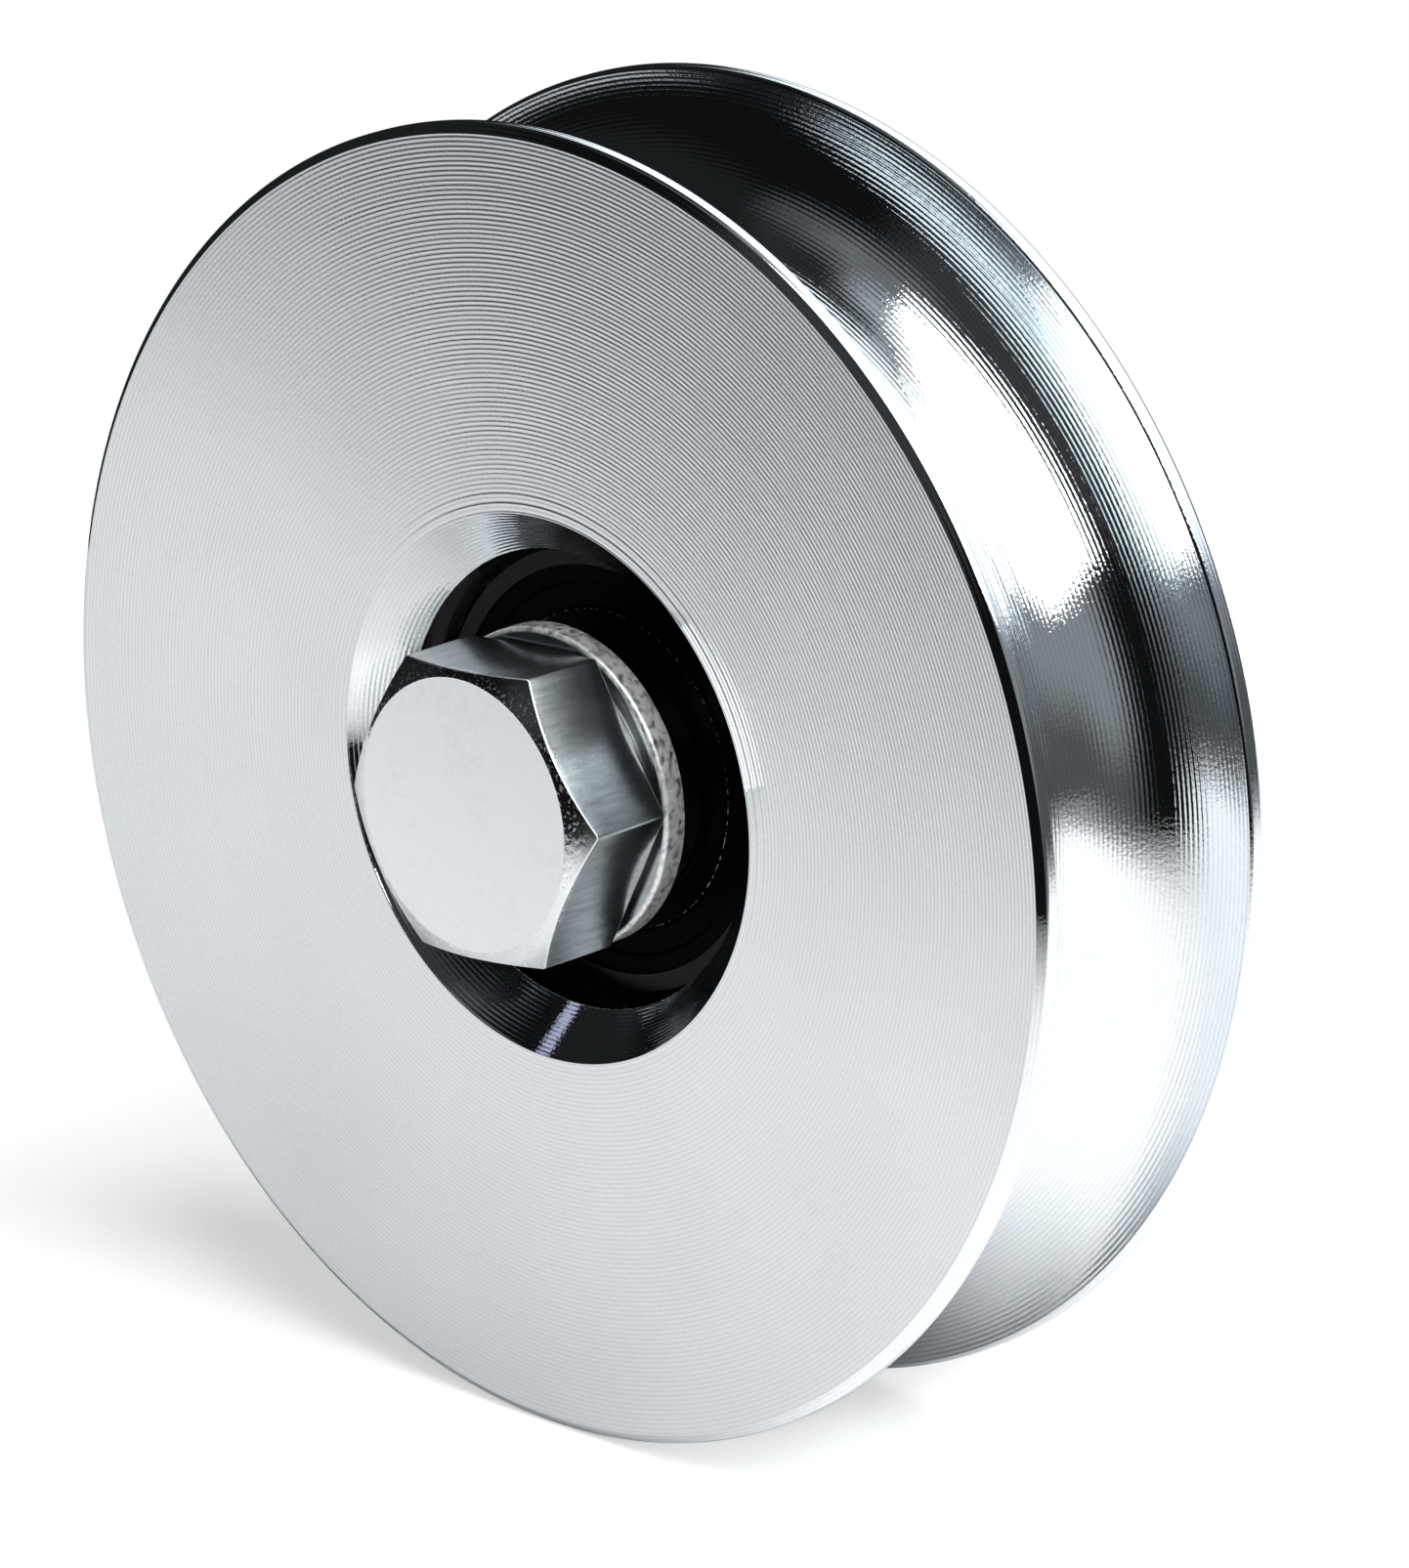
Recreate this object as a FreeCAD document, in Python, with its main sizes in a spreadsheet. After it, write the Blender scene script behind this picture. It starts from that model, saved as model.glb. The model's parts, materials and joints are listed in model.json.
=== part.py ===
"""Sliding gate wheel: a grooved steel wheel on one sealed ball bearing, carried by a hexagon bolt.

Millimetres. The origin is the wheel's centre, +Y runs along the axle from the bolt's head to its
thread, and +Z is up, so the rail passes under the wheel along X.
"""
import FreeCAD
import Part
import Sketcher
import math
import os

# Driving dimensions
SIZES = {
    "wheel_diameter": 100.0,  # over the two flanges
    "rail_diameter": 20.0,  # round rail that the groove runs on
    "rail_clearance": 0.25,  # between rail and groove, on the radius
    "groove_depth": 10.25,  # from the flange crests to the groove's floor
    "flange_crest": 1.75,  # width of each flange at its crest, bevel included
    "rim_bevel_radial": 0.75,  # bevel between face and crest, measured on the face
    "rim_bevel_axial": 0.55,  # the same bevel, measured on the crest
    "groove_edge_round": 0.4,  # rounding between crest and groove
    "countersink_width": 3.35,  # front mouth's 45 degree cone, on the radius
    "shoulder_height": 3.0,  # stop behind the bearing, on the radius
    "rear_countersink": 1.0,  # 45 degree cone at the rear mouth
    "bearing_outside": 35.0,  # outer ring's diameter, which is also its seat's
    "bearing_width": 11.0,  # both rings
    "ring_bevel": 0.6,  # outer corners of both rings
    "ball_count": 8,  # balls in the row
    "ball_diameter": 5.953,  # fifteen sixty-fourths of an inch
    "race_conformity": 0.52,  # raceway radius for each unit of ball diameter
    "race_clearance": 0.02,  # between ball and raceway floor
    "race_depth": 1.1,  # from a ring's land to its raceway floor
    "seal_seat_step": 1.2,  # outer ring's land to its seal seat, on the radius
    "seal_lip_step": 0.3,  # inner ring's land to its seal track, on the radius
    "seal_lip_clearance": 0.06,  # between seal lip and seal track
    "seal_thickness": 1.0,  # seal at its beads
    "seal_recess": 0.3,  # seal below the ring faces
    "seal_bead_width": 1.3,  # outer bead, on the radius
    "seal_lip_width": 1.8,  # inner bead, on the radius
    "seal_web_step": 0.25,  # web below the beads
    "cage_width": 2.4,  # pressed ribbon, on the radius
    "cage_thickness": 0.6,  # sheet of each cage half
    "pocket_clearance": 0.08,  # between ball and cage pocket
    "rivet_diameter": 1.0,  # cage rivets
    "rivet_head_width": 0.35,  # head beyond the shank, on the radius
    "rivet_head_height": 0.4,  # each head
    "bolt_diameter": 14.0,  # plain shank
    "bolt_length": 60.0,  # under the head
    "bolt_slack": 0.5,  # between shank and bearing bore
    "wrench_size": 22.0,  # across the flats of head and nut
    "wrench_bevel_inset": 0.55,  # from a flat to the edge of the end disc
    "wrench_bevel_angle": 30.0,  # degrees, head and nut
    "head_height": 8.8,  # with its washer face
    "head_turn": 4.0,  # degrees that the first corner stands above level
    "washer_face_inset": 0.75,  # from a flat to the edge of the washer face
    "washer_face_height": 0.5,  # raised disc under the head
    "thread_crest_drop": 0.175,  # thread crests below the plain shank
    "thread_bevel": 1.2,  # lead-in at the thread's end
    "washer_outside": 24.5,  # plain washer under the head
    "washer_thickness": 2.0,
    "washer_slack": 0.5,  # between shank and washer
    "washer_round": 0.4,  # rolled edge of the stamped washer
    "head_seat_depth": 0.2,  # washer's front below the wheel's front face
    "spacer_slack": 0.25,  # between shank and spacers
    "spacer_margin": 0.3,  # spacer's edge inside the seal track
    "spacer_bevel": 0.4,  # spacer corners
    "spacer_overhang": 2.0,  # rear spacer beyond the wheel's rear face
    "nut_height": 11.0,
    "nut_turn": 20.0,  # degrees that the nut stands turned
    "nut_countersink": 0.8,  # lead-in at both ends of the nut's thread
}

# Sizes that follow from the driving ones, as spreadsheet expressions
WHEEL_RADIUS = "(Size.wheel_diameter / 2)"
GROOVE_RADIUS = "(Size.rail_diameter / 2 + Size.rail_clearance)"
GROOVE_HALF = f"sqrt({GROOVE_RADIUS} ^ 2 - ({GROOVE_RADIUS} - Size.groove_depth) ^ 2)"
HALF_WIDTH = f"({GROOVE_HALF} + Size.flange_crest)"
SEAT_RADIUS = "(Size.bearing_outside / 2)"
SHOULDER_RADIUS = f"({SEAT_RADIUS} - Size.shoulder_height)"
BEARING_HALF = "(Size.bearing_width / 2)"
BORE_RADIUS = "(Size.bolt_diameter / 2 + Size.bolt_slack)"
PITCH_RADIUS = f"(({SEAT_RADIUS} + {BORE_RADIUS}) / 2)"
BALL_RADIUS = "(Size.ball_diameter / 2)"
RACE_RADIUS = "(Size.ball_diameter * Size.race_conformity)"
OUTER_RACE = f"({PITCH_RADIUS} + {BALL_RADIUS} + Size.race_clearance)"
INNER_RACE = f"({PITCH_RADIUS} - {BALL_RADIUS} - Size.race_clearance)"
OUTER_LAND = f"({OUTER_RACE} - Size.race_depth)"
INNER_LAND = f"({INNER_RACE} + Size.race_depth)"
RACE_HALF = f"sqrt({RACE_RADIUS} ^ 2 - ({RACE_RADIUS} - Size.race_depth) ^ 2)"
SEAL_SEAT = f"({OUTER_LAND} + Size.seal_seat_step)"
SEAL_TRACK = f"({INNER_LAND} - Size.seal_lip_step)"
SEAL_LIP = f"({SEAL_TRACK} + Size.seal_lip_clearance)"
SEAL_DEPTH = "(Size.seal_recess + Size.seal_thickness)"
CAGE_INNER = f"({PITCH_RADIUS} - Size.cage_width / 2)"
CAGE_OUTER = f"({PITCH_RADIUS} + Size.cage_width / 2)"
POCKET_RADIUS = f"({BALL_RADIUS} + Size.pocket_clearance)"
POCKET_BACK = f"({POCKET_RADIUS} + Size.cage_thickness)"
RIVET_RADIUS = "(Size.rivet_diameter / 2)"
RIVET_HEAD = f"({RIVET_RADIUS} + Size.rivet_head_width)"
SHANK_RADIUS = "(Size.bolt_diameter / 2)"
THREAD_RADIUS = f"({SHANK_RADIUS} - Size.thread_crest_drop)"
WRENCH_CORNER = "(Size.wrench_size / sqrt(3))"
WRENCH_DISC = "(Size.wrench_size / 2 - Size.wrench_bevel_inset)"
WRENCH_REACH = f"({WRENCH_CORNER} + Size.wrench_bevel_inset)"
WRENCH_SLOPE = f"(({WRENCH_REACH} - {WRENCH_DISC}) * tan(Size.wrench_bevel_angle * 1 deg))"
WASHER_FACE = "(Size.wrench_size / 2 - Size.washer_face_inset)"
SPACER_BORE = f"({SHANK_RADIUS} + Size.spacer_slack)"
SPACER_RADIUS = f"({SEAL_TRACK} - Size.spacer_margin)"
WASHER_FRONT = f"({HALF_WIDTH} - Size.head_seat_depth)"
FRONT_SPACER = f"({WASHER_FRONT} - Size.washer_thickness - {BEARING_HALF})"
REAR_SPACER = f"({HALF_WIDTH} + Size.spacer_overhang - {BEARING_HALF})"
GRIP_LENGTH = f"({WASHER_FRONT} + {BEARING_HALF} + {REAR_SPACER} + Size.nut_height)"

BALL_COUNT = round(SIZES["ball_count"])
AXLE = FreeCAD.Vector(0, 1, 0)
HEADWARDS = FreeCAD.Vector(0, -1, 0)  # a turn about this takes +X towards +Z
ACROSS = FreeCAD.Vector(0, 0, 1)
ON_AXIS = "0"
FULL_TURN = 360.0

# A sketch numbers its own axes downwards from -1, and the points of a line or arc upwards from 1
LEVEL_AXIS, UPRIGHT_AXIS = range(-1, -3, -1)
START, END, CENTRE = range(1, 4)
ORIGIN = LEVEL_AXIS  # its start is the sketch's origin

doc = FreeCAD.newDocument("gate_wheel")
sheet = doc.addObject("Spreadsheet::Sheet", "Size")
for row, (alias, size) in enumerate(SIZES.items(), start=1):
    sheet.set(f"A{row}", alias)
    sheet.set(f"B{row}", str(size))
    sheet.setAlias(f"B{row}", alias)
doc.recompute()

nodes = []


def value(expression):
    """The present number of an expression on the sheet."""
    return float(sheet.evalExpression(expression))


def bind(thing, **expressions):
    """Tie properties of an object to expressions on the sheet."""
    for name, expression in expressions.items():
        thing.setExpression(name, expression)


def place(thing, along, rotation=FreeCAD.Rotation()):
    """Set an object on the axle, turned by a rotation and moved along +Y by an expression."""
    thing.Placement = FreeCAD.Placement(FreeCAD.Vector(), rotation)
    thing.setExpression("Placement.Base.y", along)


def place_turned(thing, along, turn):
    """Set an object on the axle, with its +X turned up towards +Z by an expression in degrees."""
    place(thing, along, FreeCAD.Rotation(HEADWARDS, value(turn)))
    thing.setExpression("Placement.Rotation.Angle", turn)


def node(thing, label):
    """Name an object as one piece of the wheel."""
    thing.Label = label
    nodes.append(thing)
    return thing


# Sketches
def sketch_on(body, role, name):
    """An empty sketch on one of the body's own origin planes."""
    sketch = body.newObject("Sketcher::SketchObject", name)
    plane = [feature for feature in body.Origin.OriginFeatures if feature.Role == role][0]
    sketch.AttachmentSupport = [(plane, "")]
    sketch.MapMode = "FlatFace"
    return sketch


def dimension(sketch, constraint, name, expression):
    """Add a driving constraint and tie it to an expression."""
    index = sketch.addConstraint(constraint)
    sketch.renameConstraint(index, name)
    sketch.setExpression(f"Constraints.{name}", expression)


def half_section(body, name, corners, arcs=None):
    """A closed half section on the XY plane, through corners of (radius, height) expressions.

    arcs gives, for the side that starts at a corner, the (radius, height) of the point halfway
    along it and the radius at which the arc's centre lies. The other sides are straight.
    """
    sketch = sketch_on(body, "XY_Plane", name)
    arcs = arcs or {}
    points = [FreeCAD.Vector(value(radius), value(height), 0) for radius, height in corners]
    count = len(corners)
    ends = []
    for side, start in enumerate(points):
        stop = points[(side + 1) % count]
        if side in arcs:
            middle = FreeCAD.Vector(value(arcs[side][0]), value(arcs[side][1]), 0)
            sketch.addGeometry(Part.Arc(start, middle, stop))
            from_start = sketch.getPoint(side, START).distanceToPoint(start)
            from_stop = sketch.getPoint(side, START).distanceToPoint(stop)
            ends.append((START, END) if from_start < from_stop else (END, START))
        else:
            sketch.addGeometry(Part.LineSegment(start, stop))
            ends.append((START, END))
    for side in range(count):
        following = (side + 1) % count
        meeting = Sketcher.Constraint("Coincident", side, ends[side][1], following, ends[following][0])
        sketch.addConstraint(meeting)
    for side, (radius, height) in enumerate(corners):
        start = ends[side][0]
        if radius == ON_AXIS:
            sketch.addConstraint(Sketcher.Constraint("PointOnObject", side, start, UPRIGHT_AXIS))
        else:
            across = Sketcher.Constraint("DistanceX", ORIGIN, START, side, start, points[side].x)
            dimension(sketch, across, f"radius_{side}", radius)
        if height == ON_AXIS:
            sketch.addConstraint(Sketcher.Constraint("PointOnObject", side, start, LEVEL_AXIS))
        else:
            along = Sketcher.Constraint("DistanceY", ORIGIN, START, side, start, points[side].y)
            dimension(sketch, along, f"height_{side}", height)
    for side, (_, _, centre) in arcs.items():
        across = Sketcher.Constraint("DistanceX", ORIGIN, START, side, CENTRE, value(centre))
        dimension(sketch, across, f"centre_{side}", centre)
    return sketch


def circle_on(body, name, radius):
    """A circle about the axle on the XZ plane."""
    sketch = sketch_on(body, "XZ_Plane", name)
    ring = sketch.addGeometry(Part.Circle(FreeCAD.Vector(), ACROSS, value(radius)))
    sketch.addConstraint(Sketcher.Constraint("Coincident", ring, CENTRE, ORIGIN, START))
    dimension(sketch, Sketcher.Constraint("Radius", ring, value(radius)), "radius", radius)
    return sketch


def hexagon_on(body, name, corner_radius):
    """A regular hexagon about the axle on the XZ plane, its first corner on the X axis."""
    sides = 6
    sketch = sketch_on(body, "XZ_Plane", name)
    reach = value(corner_radius)
    turns = [2 * math.pi * corner / sides for corner in range(sides)]
    points = [FreeCAD.Vector(reach * math.cos(turn), reach * math.sin(turn), 0) for turn in turns]
    for side in range(sides):
        sketch.addGeometry(Part.LineSegment(points[side], points[(side + 1) % sides]))
    ring = sketch.addGeometry(Part.Circle(FreeCAD.Vector(), ACROSS, reach), True)
    sketch.addConstraint(Sketcher.Constraint("Coincident", ring, CENTRE, ORIGIN, START))
    for side in range(sides):
        sketch.addConstraint(Sketcher.Constraint("Coincident", side, END, (side + 1) % sides, START))
        sketch.addConstraint(Sketcher.Constraint("PointOnObject", side, START, ring))
    for side in range(1, sides):
        sketch.addConstraint(Sketcher.Constraint("Equal", 0, side))
    sketch.addConstraint(Sketcher.Constraint("PointOnObject", 0, START, LEVEL_AXIS))
    dimension(sketch, Sketcher.Constraint("Radius", ring, reach), "corner_radius", corner_radius)
    return sketch


# Features
def turned(body, name, sketch, kind="PartDesign::Revolution"):
    """Carry a half section right round the axle, as metal or, with a groove, as a cut."""
    feature = body.newObject(kind, name)
    feature.Profile = sketch
    feature.ReferenceAxis = (sketch, ["V_Axis"])
    feature.Angle = FULL_TURN
    return feature


def pad(body, name, sketch, length):
    """Extrude a sketch on the XZ plane towards +Y."""
    feature = body.newObject("PartDesign::Pad", name)
    feature.Profile = sketch
    feature.Reversed = True
    bind(feature, Length=length)
    return feature


def ring_edges(feature, radius, height):
    """Names of a feature's circular edges at a radius and height, both expressions."""
    doc.recompute()
    close = 1e-4
    names = []
    for number, edge in enumerate(feature.Shape.Edges, start=1):
        if not isinstance(edge.Curve, Part.Circle):
            continue
        same_radius = abs(edge.Curve.Radius - value(radius)) < close
        same_height = abs(edge.Curve.Center.y - value(height)) < close
        if same_radius and same_height:
            names.append(f"Edge{number}")
    return names


def dress(body, kind, name, base, edges, **expressions):
    """Round or bevel the named edges of a feature."""
    feature = body.newObject(kind, name)
    feature.Base = (base, edges)
    bind(feature, **expressions)
    return feature


def new_body(label):
    """An empty body for one piece."""
    return node(doc.addObject("PartDesign::Body", label), label)


# Wheel
def make_wheel():
    """Disc turned from one bar: two flanges, a half-round groove and a stepped bore for the bearing."""
    body = new_body("wheel_rim")
    width = f"(2 * {HALF_WIDTH})"
    face = f"({WHEEL_RADIUS} - Size.rim_bevel_radial)"
    groove_front = "Size.flange_crest"
    groove_rear = f"({width} - Size.flange_crest)"
    seat_end = f"({HALF_WIDTH} + {BEARING_HALF})"
    corners = [
        (f"{SEAT_RADIUS} + Size.countersink_width", ON_AXIS),
        (face, ON_AXIS),
        (WHEEL_RADIUS, "Size.rim_bevel_axial"),
        (WHEEL_RADIUS, groove_front),
        (WHEEL_RADIUS, groove_rear),
        (WHEEL_RADIUS, f"{width} - Size.rim_bevel_axial"),
        (face, width),
        (f"{SHOULDER_RADIUS} + Size.rear_countersink", width),
        (SHOULDER_RADIUS, f"{width} - Size.rear_countersink"),
        (SHOULDER_RADIUS, seat_end),
        (SEAT_RADIUS, seat_end),
        (SEAT_RADIUS, "Size.countersink_width"),
    ]
    groove_side = 3
    bottom = f"({WHEEL_RADIUS} - Size.groove_depth)"
    floor = (bottom, HALF_WIDTH, f"{bottom} + {GROOVE_RADIUS}")
    section = half_section(body, "wheel_section", corners, {groove_side: floor})
    disc = turned(body, "wheel_turned", section)
    edges = ring_edges(disc, WHEEL_RADIUS, groove_front) + ring_edges(disc, WHEEL_RADIUS, groove_rear)
    dress(body, "PartDesign::Fillet", "groove_edges", disc, edges, Radius="Size.groove_edge_round")
    place(body, f"-{HALF_WIDTH}")


# Bearing
def make_outer_ring():
    """Outer race: bevelled outside, a stepped seal seat at each end and the raceway between."""
    body = new_body("bearing_outer_ring")
    outside_end = f"Size.bearing_width - {SEAL_DEPTH}"
    corners = [
        (SEAL_SEAT, ON_AXIS),
        (f"{SEAT_RADIUS} - Size.ring_bevel", ON_AXIS),
        (SEAT_RADIUS, "Size.ring_bevel"),
        (SEAT_RADIUS, "Size.bearing_width - Size.ring_bevel"),
        (f"{SEAT_RADIUS} - Size.ring_bevel", "Size.bearing_width"),
        (SEAL_SEAT, "Size.bearing_width"),
        (SEAL_SEAT, outside_end),
        (OUTER_LAND, outside_end),
        (OUTER_LAND, f"{BEARING_HALF} + {RACE_HALF}"),
        (OUTER_LAND, f"{BEARING_HALF} - {RACE_HALF}"),
        (OUTER_LAND, SEAL_DEPTH),
        (SEAL_SEAT, SEAL_DEPTH),
    ]
    race_side = 8
    race = (OUTER_RACE, BEARING_HALF, f"{OUTER_RACE} - {RACE_RADIUS}")
    turned(body, "outer_turned", half_section(body, "outer_section", corners, {race_side: race}))
    place(body, f"-{BEARING_HALF}")


def make_inner_ring():
    """Inner race: bevelled bore, a lower seal track at each end and the raceway between."""
    body = new_body("bearing_inner_ring")
    track_end = f"Size.bearing_width - {SEAL_DEPTH}"
    corners = [
        (BORE_RADIUS, "Size.ring_bevel"),
        (f"{BORE_RADIUS} + Size.ring_bevel", ON_AXIS),
        (SEAL_TRACK, ON_AXIS),
        (SEAL_TRACK, SEAL_DEPTH),
        (INNER_LAND, SEAL_DEPTH),
        (INNER_LAND, f"{BEARING_HALF} - {RACE_HALF}"),
        (INNER_LAND, f"{BEARING_HALF} + {RACE_HALF}"),
        (INNER_LAND, track_end),
        (SEAL_TRACK, track_end),
        (SEAL_TRACK, "Size.bearing_width"),
        (f"{BORE_RADIUS} + Size.ring_bevel", "Size.bearing_width"),
        (BORE_RADIUS, "Size.bearing_width - Size.ring_bevel"),
    ]
    race_side = 5
    race = (INNER_RACE, BEARING_HALF, f"{INNER_RACE} + {RACE_RADIUS}")
    turned(body, "inner_turned", half_section(body, "inner_section", corners, {race_side: race}))
    place(body, f"-{BEARING_HALF}")


def make_seal(label, faces_rear):
    """Moulded seal: a bead that snaps into the outer ring, a thinner web and a lip at the inner ring."""
    body = new_body(label)
    web = "Size.seal_thickness - Size.seal_web_step"
    bead = f"{SEAL_SEAT} - Size.seal_bead_width"
    lip = f"{SEAL_LIP} + Size.seal_lip_width"
    corners = [
        (SEAL_LIP, ON_AXIS),
        (SEAL_SEAT, ON_AXIS),
        (SEAL_SEAT, "Size.seal_thickness"),
        (bead, "Size.seal_thickness"),
        (bead, web),
        (lip, web),
        (lip, "Size.seal_thickness"),
        (SEAL_LIP, "Size.seal_thickness"),
    ]
    turned(body, f"{label}_turned", half_section(body, f"{label}_section", corners))
    inner_face = f"({BEARING_HALF} - {SEAL_DEPTH})"
    if faces_rear:
        place(body, inner_face)
    else:
        place(body, f"-{inner_face}", FreeCAD.Rotation(ACROSS, FULL_TURN / 2))


def pitch_angle(place_in_row):
    """Degrees from +X towards +Z of a place in the ball row, counted from the top."""
    quarter = FULL_TURN / 4
    return quarter - FULL_TURN * place_in_row / BALL_COUNT


def on_pitch_circle(thing, place_in_row):
    """Tie an object's place to the pitch circle."""
    angle = pitch_angle(place_in_row)
    thing.setExpression("Placement.Base.x", f"{PITCH_RADIUS} * cos({angle} deg)")
    thing.setExpression("Placement.Base.z", f"{PITCH_RADIUS} * sin({angle} deg)")


def sphere(name, place_in_row, radius):
    """A sphere on the pitch circle, its poles on the wheel's radius and its seam to one side."""
    ball = doc.addObject("Part::Sphere", name)
    bind(ball, Radius=radius)
    angle = math.radians(pitch_angle(place_in_row))
    to_radius = FreeCAD.Rotation(ACROSS, FreeCAD.Vector(math.cos(angle), 0, math.sin(angle)))
    seam_to_side = FreeCAD.Rotation(ACROSS, FULL_TURN / 4)
    place(ball, "0", to_radius * seam_to_side)
    on_pitch_circle(ball, place_in_row)
    return ball


def rod(name, kind, length, start, **radii):
    """A cylinder or cone along +Y on the axle, from a start to a length."""
    solid = doc.addObject(kind, name)
    bind(solid, Height=length, **radii)
    place(solid, start, FreeCAD.Rotation(ACROSS, AXLE))
    return solid


def joined(name, shapes):
    """Several solids made one."""
    whole = doc.addObject("Part::MultiFuse", name)
    whole.Shapes = shapes
    return whole


def make_cage():
    """Pressed ribbon cage: two mirrored halves, bulged round each ball and riveted between the balls."""
    row = range(BALL_COUNT)
    gaps = [place_in_row + 1 / 2 for place_in_row in row]
    through = f"(2 * {POCKET_BACK})"
    band = rod("cage_band", "Part::Cylinder", POCKET_BACK, "0", Radius=CAGE_OUTER)
    ribbon = rod("cage_ribbon", "Part::Cylinder", "Size.cage_thickness", "0", Radius=CAGE_OUTER)
    bulges = [sphere(f"cage_bulge_{place_in_row}", place_in_row, POCKET_BACK) for place_in_row in row]
    pressed = doc.addObject("Part::Common", "cage_pressed")
    pressed.Base = band
    pressed.Tool = joined("cage_bulged", [ribbon] + bulges)
    inside = rod("cage_inside", "Part::Cylinder", through, f"-{POCKET_BACK}", Radius=CAGE_INNER)
    pockets = [sphere(f"cage_pocket_{place_in_row}", place_in_row, POCKET_RADIUS) for place_in_row in row]
    holes = []
    for number, gap in enumerate(gaps):
        hole = rod(f"cage_hole_{number}", "Part::Cylinder", through, f"-{POCKET_BACK}", Radius=RIVET_RADIUS)
        on_pitch_circle(hole, gap)
        holes.append(hole)
    rear = doc.addObject("Part::Cut", "cage_rear")
    rear.Base = pressed
    rear.Tool = joined("cage_openings", [inside] + pockets + holes)
    node(rear, "cage_rear_half")
    front = doc.addObject("Part::Mirroring", "cage_front")
    front.Source = rear
    front.Normal = AXLE
    node(front, "cage_front_half")
    rivets = doc.addObject("Part::Compound", "cage_rivet_row")
    rivets.Links = [make_rivet(number, gap) for number, gap in enumerate(gaps)]
    node(rivets, "cage_rivets")


def make_rivet(number, gap):
    """One rivet: a shank through both cage sheets and a tapered head on each side."""
    sheet_face = "Size.cage_thickness"
    head = "Size.rivet_head_height"
    tip = f"-{sheet_face} - {head}"
    grip = f"2 * {sheet_face}"
    wide = RIVET_HEAD
    thin = RIVET_RADIUS
    shank = rod(f"rivet_shank_{number}", "Part::Cylinder", grip, f"-{sheet_face}", Radius=thin)
    rear_head = rod(f"rivet_rear_{number}", "Part::Cone", head, sheet_face, Radius1=wide, Radius2=thin)
    front_head = rod(f"rivet_front_{number}", "Part::Cone", head, tip, Radius1=thin, Radius2=wide)
    solids = [shank, rear_head, front_head]
    for solid in solids:
        on_pitch_circle(solid, gap)
    return joined(f"rivet_{number}", solids)


def make_balls():
    """The balls of the row, the first one at the top."""
    for place_in_row in range(BALL_COUNT):
        label = f"ball_{place_in_row + 1}"
        node(sphere(label, place_in_row, BALL_RADIUS), label)


# Axle
def wrench_bevel(body, name, end, inner):
    """Taper the corners of a hexagon, from the disc at its end to an inner height outside its corners."""
    corners = [(WRENCH_DISC, end), (WRENCH_REACH, end), (WRENCH_REACH, inner)]
    return turned(body, name, half_section(body, f"{name}_section", corners), "PartDesign::Groove")


def make_bolt():
    """Hexagon bolt: bevelled head with a washer face, plain shank and free thread, at its crests."""
    body = new_body("axle_bolt")
    hexagon_height = "Size.head_height - Size.washer_face_height"
    pad(body, "head_hexagon", hexagon_on(body, "head_outline", WRENCH_CORNER), hexagon_height)
    wrench_bevel(body, "head_bevel", ON_AXIS, WRENCH_SLOPE)
    pad(body, "washer_face", circle_on(body, "washer_face_outline", WASHER_FACE), "Size.head_height")
    grip = f"Size.head_height + {GRIP_LENGTH}"
    pad(body, "plain_shank", circle_on(body, "shank_outline", SHANK_RADIUS), grip)
    end = "(Size.head_height + Size.bolt_length)"
    thread = pad(body, "free_thread", circle_on(body, "thread_outline", THREAD_RADIUS), end)
    edges = ring_edges(thread, THREAD_RADIUS, end)
    dress(body, "PartDesign::Chamfer", "thread_end", thread, edges, Size="Size.thread_bevel")
    place_turned(body, f"-{WASHER_FRONT} - Size.head_height", "Size.head_turn")


def make_nut():
    """Hexagon nut, bevelled at both ends, its thread drawn at the bolt's full diameter."""
    body = new_body("clamp_nut")
    pad(body, "nut_hexagon", hexagon_on(body, "nut_outline", WRENCH_CORNER), "Size.nut_height")
    wrench_bevel(body, "nut_front_bevel", ON_AXIS, WRENCH_SLOPE)
    wrench_bevel(body, "nut_rear_bevel", "Size.nut_height", f"Size.nut_height - {WRENCH_SLOPE}")
    lead = f"{SHANK_RADIUS} + Size.nut_countersink"
    corners = [
        (ON_AXIS, ON_AXIS),
        (lead, ON_AXIS),
        (SHANK_RADIUS, "Size.nut_countersink"),
        (SHANK_RADIUS, "Size.nut_height - Size.nut_countersink"),
        (lead, "Size.nut_height"),
        (ON_AXIS, "Size.nut_height"),
    ]
    turned(body, "nut_bore", half_section(body, "nut_bore_section", corners), "PartDesign::Groove")
    place_turned(body, f"{HALF_WIDTH} + Size.spacer_overhang", "Size.nut_turn")


def make_washer():
    """Stamped washer under the bolt's head, rolled over at its front edge."""
    body = new_body("head_washer")
    bore = f"{SHANK_RADIUS} + Size.washer_slack"
    outside = "Size.washer_outside / 2"
    corners = [
        (bore, ON_AXIS),
        (outside, ON_AXIS),
        (outside, "Size.washer_thickness"),
        (bore, "Size.washer_thickness"),
    ]
    plate = turned(body, "washer_turned", half_section(body, "washer_section", corners))
    edges = ring_edges(plate, outside, ON_AXIS)
    dress(body, "PartDesign::Fillet", "washer_edge", plate, edges, Radius="Size.washer_round")
    place(body, f"-{WASHER_FRONT}")


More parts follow.
